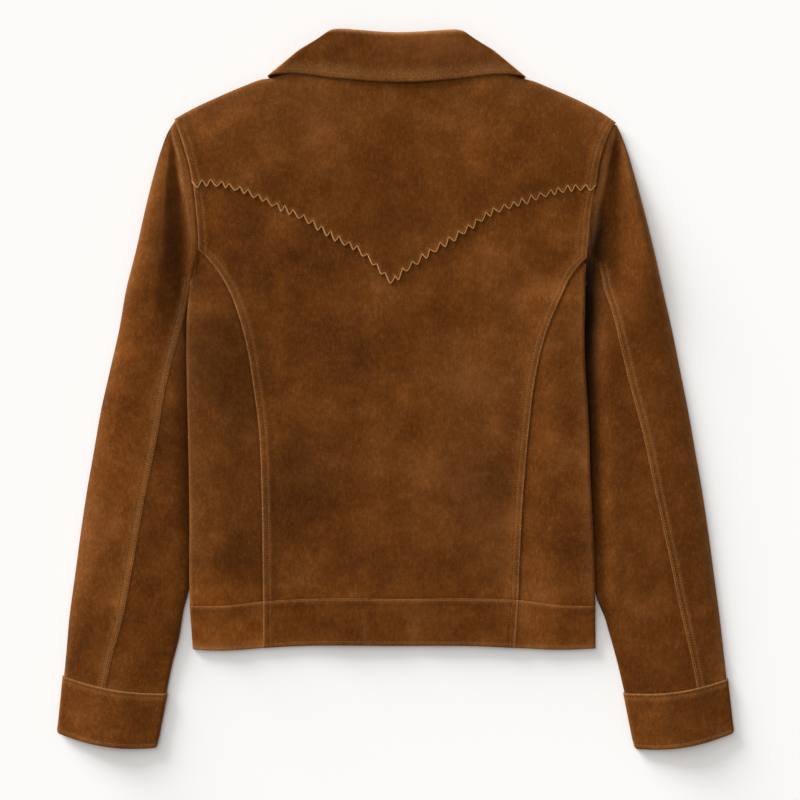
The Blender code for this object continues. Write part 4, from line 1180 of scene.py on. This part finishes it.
def wrapped(name, back, leaf, depths, height, low, radius):
    """A strip round the neck. back and leaf give places at shares across and down, height the back part's z."""
    fold = fold_places(radius)
    rows, wear_and_painted_shading = [], []
    for depth in depths:
        share = depth / depths[-1]
        x, y = back(np.array([0.0, 1.0]), share)
        width = np.hypot(x[1] - x[0], y[1] - y[0])
        ends = fold / width
        places = np.concatenate([ends[1:], np.linspace(ends[-1], 1 - ends[-1], 90)[1:-1], 1 - ends[:0:-1]])
        x, y = back(places, share)
        from_end = np.minimum(places, 1 - places) * width
        high = height(x, y, depth, from_end)
        top = grid(x, y, (high + low) / 2 + (high - low) / 2 * roll(from_end, radius))
        parts = []
        for side in OUTWARD:
            x, y = leaf(side, np.array([0.0, 1.0]), share)
            length = np.hypot(x[1] - x[0], y[1] - y[0])
            places = np.concatenate([fold[1:] / length, np.linspace(fold[-1] / length, 1, 20)[1:]])
            x, y = leaf(side, places, share)
            middle = (seat_height(x[0], y[0]) + COLLAR_LIFT + low) / 2
            parts.append(grid(x, y, middle + (low - middle) * roll(places * length, radius)))
        rows.append(np.concatenate([parts[0][::-1], top, parts[1]]))
        from_edge = depths[-1] - depth
        # The lighter band along the fall's upper fold is a painted sheen; the lower edge is lighter by wear,
        # with a lighter band some 8 mm above it.
        edge = wear_and_highlight(from_edge, 0.2, 2.0, COLLAR_STITCH) + 0.20 * bell(from_edge - 8, 5.0)
        wear_and_painted_shading.append(np.full(len(rows[-1]), edge + 0.65 * bell(depth, 2.8)))
    return hide(name, name, np.array(rows), np.array(wear_and_painted_shading), wall=COLLAR_HIDE)


def fall_back(places, share):
    """The fall's back part, with its two upper corners rounded off."""
    top_x = between(COLLAR_TOP[0][0], COLLAR_TOP[-1][0], places)
    edge_x = between(COLLAR_EDGE[0][0], COLLAR_EDGE[-1][0], places)
    from_end = np.minimum(places, 1 - places) * 150.0
    corner = COLLAR_CORNER * (1 - roll(from_end, 2 * COLLAR_CORNER)) * (1 - rise(share, 0, 0.5))
    y = between(along(COLLAR_TOP, top_x), along(COLLAR_EDGE, edge_x), share)
    return between(top_x, edge_x, share), y + corner


def fall_leaf(side, places, share):
    x, y = fall_back(np.array([0.0 if side == "left" else 1.0]), share)
    tip = between(np.array(LEAF_ROLL_END[side]), np.array(LEAF_POINT[side]), share)
    return between(x, tip[0], places), between(y, tip[1], places)


def fall_height(x, y, depth, from_end):
    edge = COLLAR_LENGTH - depth
    plump = 1.4 * rise(depth, 0, 14) * (1 - rise(depth, 16, COLLAR_LENGTH - 8)) * rise(from_end, 2, 40)
    groove = 0.15 * bell(edge - COLLAR_STITCH, GROOVE_WIDE)
    turned = RIM * (1 - roll(depth, RIM)) + 1.2 * (1 - roll(edge, 1.5))
    lift = COLLAR_LIFT - 0.8 * rise(depth, 20, COLLAR_LENGTH)
    return seat_height(x, y) + lift + plump + drape(x, y, 60, 0.25, 21) - groove - turned


FALL_DEPTHS = np.concatenate([
    RIM * FOLD_TURN[::-1], np.linspace(7, 38, 16),
    [39.5, 40.4, 41, 41.4, 41.8, 42.4, 43.4, 44.4, 45, 45.4, 45.8, 46],
])
wrapped("collar_fall", fall_back, fall_leaf, FALL_DEPTHS, fall_height, 0.0, COLLAR_FOLD)

# %% [markdown]
# ## The collar's stand
# The stand is hidden below the fall, but it holds the fall's upper edge up off the neck seam, and it shows
# from the front through the neck opening. The same function wraps it round the neck, with a smaller fold.

# %% Make the collar's stand
STAND_INSET = 6.0  # how far it stays inside the fall
STAND_FOLD = 4.0
STAND_LOW = 3.0  # height of its leaves above the table
STAND_DEPTHS = np.linspace(0, 30, 12)


def stand_back(places, share):
    top_x = between(COLLAR_TOP[0][0] + STAND_INSET, COLLAR_TOP[-1][0] - STAND_INSET, places)
    neck_x = between(NECK_POINTS[0] + 2, NECK_POINTS[1] - 2, places)
    top_y = along(COLLAR_TOP, top_x) + STAND_INSET + 2
    return between(top_x, neck_x, share), between(top_y, along(BACK_TOP, neck_x) - 3.6, share)


def stand_leaf(side, places, share):
    end = np.array([0.0 if side == "left" else 1.0])
    top_x, top_y = stand_back(end, 0.0)
    neck_end_x, neck_end_y = stand_back(end, 1.0)
    roll_x = between(top_x, LEAF_ROLL_END[side][0] - OUTWARD[side] * 2, places)
    roll_y = between(top_y, LEAF_ROLL_END[side][1] + STAND_INSET, places)
    neck_x = between(neck_end_x, CENTRE_FRONT + OUTWARD[side] * 1.5, places)
    neck_y = between(neck_end_y, along(FRONT_NECK, neck_x) - 1.8, rise(places, 0, 0.12))
    return between(roll_x, neck_x, share), between(roll_y, neck_y, share)


def stand_height(x, y, *_):
    return seat_height(x, y) - 0.6


wrapped("collar_stand", stand_back, stand_leaf, STAND_DEPTHS, stand_height, STAND_LOW, STAND_FOLD)

# %% [markdown]
# ## Topstitching
# Every lapped seam is sewn down with a tan thread a little lighter than the hide. A texture of dashes would
# be quicker, but it stays flat in the light, so each stitch is a small arched capsule whose ends go down
# into its groove. A row is one object, and it counts as the trim of the panel that it is sewn on.

# %% Sew rows of stitches
STITCH_PITCH = 2.8
STITCH_LENGTH = 2.0
STITCH_WANDER = 0.12  # the most that a stitch is off its place
STITCH_SIZES = (0.88, 1.1)
THREAD = 0.34  # half the thread's width
THREAD_FLAT = 0.8  # its height as a share of its width
SIDES = 6
# Rings of a stitch: place along it as a share of its length, width as a share of the thread's, and height.
RINGS = (
    (-0.5, 0.0, -0.45), (-0.42, 0.75, -0.2), (-0.2, 1.0, 0.1), (0.2, 1.0, 0.1), (0.42, 0.75, -0.2),
    (0.5, 0.0, -0.45),
)
threads = []


def sew(name, panel, x, y, z):
    """A row of stitches along a path over a panel."""
    path = grid(x, y, z) / MM
    run = np.append(0, np.cumsum(np.linalg.norm(np.diff(path, axis=0), axis=1)))
    centres = np.arange(STITCH_PITCH / 2, run[-1] - STITCH_LENGTH / 2, STITCH_PITCH)
    rng = np.random.default_rng(len(threads) + 40)
    points, faces = [], []
    for centre in centres + rng.uniform(-STITCH_WANDER, STITCH_WANDER, len(centres)):
        start = len(points)
        size = rng.uniform(*STITCH_SIZES)
        for where, wide, up in RINGS:
            at = centre + where * STITCH_LENGTH
            place = np.array([np.interp(at, run, path[:, k]) for k in range(3)])
            ahead = np.array([np.interp(at + 0.6, run, path[:, k]) for k in range(3)])
            side = np.cross(ahead - place, [0, 0, 1])
            side = side / max(np.linalg.norm(side), 1e-9)
            for k in range(SIDES):
                turn = 2 * np.pi * k / SIDES
                ring = side * np.cos(turn) * THREAD * wide * size
                rise_up = np.sin(turn) * THREAD * THREAD_FLAT * wide * size + up
                points.append(place + ring + np.array([0, 0, rise_up]))
        for ring in range(len(RINGS) - 1):
            for k in range(SIDES):
                a, b = start + ring * SIDES + k, start + ring * SIDES + (k + 1) % SIDES
                faces.append((a, b, b + SIDES, a + SIDES))
    row = put(name, smooth_mesh(name, np.array(points) * MM, faces))
    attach(row, "root")
    pieces[panel]["trim"].append(row)
    threads.append(row)
    return len(centres)


def beside(table, y, distance):
    """Places this far from a curve that runs down the layout, to its right where distance is positive."""
    slope = along(table, y + 0.5) - along(table, y - 0.5)
    return along(table, y) + distance / np.hypot(1, slope), y - distance * slope / np.hypot(1, slope)


def under(table, x, distance):
    """Places this far below a curve that runs across the layout."""
    return beside(table, x, distance)[::-1]


def outer_back(x, y):
    on_yoke = y < np.interp(x, *np.array(YOKE_EDGE).T)
    return centre_height(x, y) + YOKE_LIFT * on_yoke


# %% Topstitch the body
count = 0
for side, out in OUTWARD.items():
    y = np.linspace(SHOULDER[side][1] + 5, PRINCESS_TOP[side] - 8, 120)
    x, y = beside(BODY_EDGE[side], y, -out * STITCH_IN)
    count += sew(f"armhole_stitches_{side}", "centre_back", x, y, outer_back(x, y))
    x, y = beside(PRINCESS[side], np.linspace(PRINCESS_TOP[side] + 4, 596, 240), -out * STITCH_IN)
    count += sew(f"princess_stitches_{side}", "centre_back", x, y, centre_height(x, y))
BAND_SPANS = {
    "band_centre": (266.0, 514.0, centre_band_height),
    "band_side_left": (195.0, 261.5, side_band_height),
    "band_side_right": (519.0, 591.0, side_band_height),
}
for name, (start, end, height) in BAND_SPANS.items():
    for row, table, distance in (("top", BAND_SEAM, BAND_STITCH), ("hem", HEM, -HEM_STITCH)):
        x, y = under(table, np.linspace(start, end, 120), distance)
        count += sew(f"{name}_{row}_stitches", name, x, y, height(x, y))
for side, out in OUTWARD.items():
    x, y = beside(PRINCESS[side], np.linspace(608, 638, 40), -out * STITCH_IN)
    count += sew(f"band_side_stitches_{side}", "band_centre", x, y, centre_band_height(x, y))
print("stitches in the body:", count)

# %% Topstitch the sleeves, the cuffs and the collar
SEAM_ROWS = (2.4, STITCH_IN)
count = 0
for side, out in OUTWARD.items():
    for k, inset in enumerate(SEAM_ROWS):
        y = np.linspace(SEAM_START[side] + 14 + 4 * k, CUFF_SEAM_BACK[side] - 4, 300)
        x, y = beside(SLEEVE_SEAM[side], y, out * inset)
        count += sew(f"sleeve_stitches_{side}_{k}", f"top_sleeve_{side}", x, y, top_sleeve_height(side, x, y))
    stitched = CUFF_STITCH / CUFF_ROWS[-1]
    for end, share in (("top", stitched), ("end", 1 - stitched)):
        at = np.linspace(0.03, 0.97, 90)
        x, y, length = cuff_place(side, at, share)
        count += sew(f"cuff_stitches_{side}_{end}", f"cuff_{side}", x, y, cuff_high(at, share, length))
at = np.linspace(0.02, 0.98, 160)
depth = COLLAR_LENGTH - COLLAR_STITCH
x, y = fall_back(at, depth / COLLAR_LENGTH)
high = fall_height(x, y, depth, np.minimum(at, 1 - at) * 250)
count += sew("collar_stitches", "collar_fall", x, y, high)
print("stitches in the sleeves, cuffs and collar:", count)

# %% [markdown]
# ## Suede
# Suede is the hide's inner side with its fibres raised. Light catches the fibres from the side, so it has
# no gloss, and where hands have stroked it the fibres lie in different directions, which shows as soft
# darker and lighter clouds. A scanned texture could show that, but noise never repeats and fits every
# panel. Four sizes of it make clouds, mottling, nap and fibres, and a ramp turns their sum into three tans.
# Each is skewed a little, so that it has small bright flecks rather than even spots. The nap attribute of a
# sheet makes the tan darker or lighter, for patches of the hide and for painted shade and painted highlight.
# Its other attribute takes it to the paler hide at rubbed and cut edges and at painted highlights, fleck by
# fleck, and below 0 to a painted shade beside seams.

# %% A helper for materials
class Shading:
    """A small helper that adds nodes to a material and joins them."""

    def __init__(self, name, **surface):
        self.material = bpy.data.materials.new(name)
        self.material.use_nodes = True
        self.nodes = self.material.node_tree.nodes
        self.links = self.material.node_tree.links
        self.shader = self.nodes["Principled BSDF"]
        for key, value in surface.items():
            self.shader.inputs[key.replace("_", " ")].default_value = value

    def add(self, kind, **values):
        node = self.nodes.new(kind)
        for key, value in values.items():
            if key in node.inputs:
                node.inputs[key].default_value = value
            else:
                setattr(node, key, value)
        return node

    def attribute(self, name):
        return self.add("ShaderNodeAttribute", attribute_name=name).outputs["Fac"]

    def noise(self, where, scale, detail, roughness):
        node = self.add("ShaderNodeTexNoise", Scale=scale, Detail=detail, Roughness=roughness)
        self.links.new(where, node.inputs["Vector"])
        return node.outputs["Fac"]

    def vector(self, operation, place, by):
        node = self.add("ShaderNodeVectorMath", operation=operation)
        self.links.new(place, node.inputs[0])
        node.inputs[1].default_value = by
        return node.outputs[0]

    def math(self, operation, a, b):
        node = self.add("ShaderNodeMath", operation=operation)
        for socket, value in zip(node.inputs, (a, b)):
            if isinstance(value, (int, float)):
                socket.default_value = value
            else:
                self.links.new(value, socket)
        return node.outputs[0]

    def scaled(self, colour, by):
        node = self.add("ShaderNodeVectorMath", operation="SCALE")
        self.links.new(colour, node.inputs[0])
        self.links.new(by, node.inputs["Scale"])
        return node.outputs[0]

    def towards(self, colour, goal, factor):
        """A colour taken towards a goal, as far as the factor says."""
        node = self.add("ShaderNodeMix", data_type="RGBA")
        self.links.new(factor, node.inputs["Factor"])
        self.links.new(colour, node.inputs[6])
        node.inputs[7].default_value = (*goal, 1)
        return node.outputs[2]

    def ramp(self, level, stops):
        node = self.add("ShaderNodeValToRGB")
        elements = node.color_ramp.elements
        elements[0].position, elements[1].position = stops[0][0], stops[-1][0]
        for position, _ in stops[1:-1]:
            elements.new(position)
        for element, (_, colour) in zip(elements, stops):
            element.color = (*colour, 1)
        self.links.new(level, node.inputs["Fac"])
        return node.outputs["Color"]


# %% Mix the suede
DEEP = (0.0545, 0.0132, 0.0008)
TAN = (0.113, 0.0331, 0.0036)
PALE = (0.183, 0.0606, 0.0130)
# The pale tan of rubbed and cut edges, which the painted highlights use too.
WEAR_AND_HIGHLIGHT_TAN = (0.430, 0.206, 0.074)
# The dark that painted shade beside seams takes the colour towards.
PAINTED_SHADE_TAN = (0.012, 0.0030, 0.0002)
STROKE = (1.0, 0.55, 1.0)  # the fibres are brushed along the panels, so their noise is longer that way
# Scale, detail and roughness of each noise.
CLOUDS, MOTTLE = (10.0, 3.0, 0.55), (48.0, 4.0, 0.6)
NAP_GRAIN, FIBRE = (330.0, 3.0, 0.65), (1100.0, 2.0, 0.6)
LEVEL = 0.485  # what the sum of noises lies round, and where on the ramp each tan lies
RAMP = ((0.28, DEEP), (0.5, TAN), (0.72, PALE))
SUEDE = {
    "Roughness": 0.95, "Specular_IOR_Level": 0.08, "Sheen_Weight": 0.32, "Sheen_Roughness": 0.45,
    "Sheen_Tint": (0.80, 0.40, 0.16, 1),
}


def suede(name, offset, tone, cloudy):
    """offset moves the noise so that no two panels match; tone makes a panel lighter, cloudy more cloudy."""
    s = Shading(name, **SUEDE)
    where = s.vector("ADD", s.add("ShaderNodeTexCoord").outputs["Object"], offset)
    brushed = s.vector("MULTIPLY", where, STROKE)
    clouds, mottle = s.noise(where, *CLOUDS), s.noise(where, *MOTTLE)
    nap, fibre = s.noise(brushed, *NAP_GRAIN), s.noise(brushed, *FIBRE)
    level = LEVEL
    for noise, strength, skew in (
        (clouds, 0.70 * cloudy, 0.6), (mottle, 0.36, 1.2), (nap, 0.42, 1.6), (fibre, 0.36, 1.0),
    ):
        centred = s.math("SUBTRACT", noise, 0.5)
        skewed = s.math("ADD", s.math("MULTIPLY", centred, skew), 1.0)
        level = s.math("ADD", s.math("MULTIPLY", s.math("MULTIPLY", centred, skewed), strength), level)
    stops = [(at, [c * tone for c in colour]) for at, colour in RAMP]
    # The nap attribute scales the tan: darker in painted shade, lighter in painted highlight and in patches of
    # the hide.
    lying = s.scaled(s.ramp(level, stops), s.attribute("nap"))
    wear_and_painted_shading = s.attribute("wear_and_painted_shading")
    flecks = s.math("MAXIMUM", s.math("MULTIPLY", s.math("SUBTRACT", fibre, 0.5), 5.0), 0.0)
    grain = s.math("ADD", s.math("MULTIPLY", mottle, 0.6), s.math("ADD", flecks, 0.25))
    # Towards the pale tan at wear, cut edges and painted highlights, fleck by fleck; below 0, towards the dark
    # of painted shade.
    colour = s.towards(lying, WEAR_AND_HIGHLIGHT_TAN, s.math("MULTIPLY", wear_and_painted_shading, grain))
    colour = s.towards(colour, PAINTED_SHADE_TAN, s.math("MULTIPLY", wear_and_painted_shading, -1.0))
    s.links.new(colour, s.shader.inputs["Base Color"])
    bump = s.add("ShaderNodeBump", Strength=0.35, Distance=0.0006)
    height = s.math("ADD", s.math("MULTIPLY", nap, 0.6), s.math("MULTIPLY", fibre, 0.4))
    s.links.new(height, bump.inputs["Height"])
    s.links.new(bump.outputs["Normal"], s.shader.inputs["Normal"])
    return s.material


# %% Give each piece its suede
TONES = {
    "yoke": 1.02, "band_centre": 1.12, "band_side_left": 1.16, "band_side_right": 1.12, "side_back_left": 0.95,
    "side_back_right": 1.04, "under_sleeve_right": 0.97, "cuff_left": 1.12, "cuff_right": 1.03,
    "collar_fall": 0.95,
}
CLOUDY = {
    "yoke": 0.65, "side_back_left": 0.6, "top_sleeve_right": 0.5, "under_sleeve_right": 0.6, "cuff_left": 0.4,
    "cuff_right": 0.5,
}
rng = np.random.default_rng(17)
for name, piece in pieces.items():
    finish = suede(f"suede_{name}", rng.uniform(-4, 4, 3), TONES.get(name, 1.0), CLOUDY.get(name, 1.0))
    piece["object"].data.materials.append(finish)
print("suede mixed for", len(pieces), "pieces")

# %% [markdown]
# ## Thread
# A waxed polyester thread, a little lighter than the hide, with a faint shine. Its stitches are so small
# that one plain colour does: the light on their round backs gives them their look.

# %% Mix the thread
THREAD_TAN = (0.250, 0.108, 0.025)
waxed = Shading("thread", Base_Color=(*THREAD_TAN, 1), Roughness=0.8, Specular_IOR_Level=0.1)
for row in threads:
    row.data.materials.append(waxed.material)
print("thread rows:", len(threads))

# %% [markdown]
# ## The table
# The jacket lies on a plain white table, much larger than itself, so that no edge of it shows.

# %% Set the table
TABLE = 6.0  # half its width, in metres
WHITE = (0.975, 0.973, 0.966)
corners = [(-TABLE, -TABLE, 0), (TABLE, -TABLE, 0), (TABLE, TABLE, 0), (-TABLE, TABLE, 0)]
mesh = bpy.data.meshes.new("table")
mesh.from_pydata(corners, [], [(0, 1, 2, 3)])
mesh.materials.append(
    Shading("table_white", Base_Color=(*WHITE, 1), Roughness=0.9, Specular_IOR_Level=0.0).material
)
table = put("table", mesh)
print("table:", 2 * TABLE, "m wide")

# %% [markdown]
# ## The light
# The light comes from the upper left of the layout. A low window rakes across the hide, so its seams and
# soft swells show, and throws a long shadow to the lower right. One lamp alone would give that shadow a
# single, even slope. The wall above the window and the ceiling each add a weaker and wider light from
# higher up, which darkens the table close to the jacket as a real room does, and the pale room all round
# fills the rest.

# %% Light the room
FROM_LEFT = -139.0  # the direction of the light, in degrees
ROOM_TINT = (1.0, 0.94, 0.895)
ROOM_STRENGTH = 0.285
# Strength, spread and height above the table of each light, the last two in degrees.
LIGHTS = {"window": (5.3, 28, 11), "wall": (0.8, 36, 32), "ceiling": (0.86, 40, 74)}
for name, (strength, spread, up) in LIGHTS.items():
    lamp = bpy.data.lights.new(name, "SUN")
    lamp.energy = strength
    lamp.angle = np.radians(spread)
    put(name, lamp).rotation_euler = (np.radians(90 - up), 0, np.radians(FROM_LEFT))
room = bpy.data.worlds.new("room")
room.use_nodes = True
room.node_tree.nodes["Background"].inputs["Color"].default_value = (*ROOM_TINT, 1)
room.node_tree.nodes["Background"].inputs["Strength"].default_value = ROOM_STRENGTH
bpy.context.scene.world = room
bpy.context.scene.view_settings.view_transform = "Standard"
print("lights:", list(LIGHTS))

# %% [markdown]
# ## The camera
# It looks straight down on the middle of the layout, with the top of the jacket upwards. A camera's lens
# could be chosen by eye, but here it is worked out from how high the camera is and how much of the table it
# takes in.

# %% Place the camera
CAMERA_UP = 2.4
CAMERA_OVER = (0.0045, -0.010)
OUTLINE_UP = 0.004  # the height of the jacket's outline above the table
SEEN = 0.8  # how much of the layout's width the camera takes in at that height
SENSOR = 36.0
lens = bpy.data.cameras.new("camera")
lens.sensor_width = SENSOR
lens.lens = SENSOR * (CAMERA_UP - OUTLINE_UP) / SEEN
camera = put("camera", lens)
camera.location = (*CAMERA_OVER, CAMERA_UP)
bpy.context.scene.camera = camera
print("lens:", round(lens.lens), "mm")
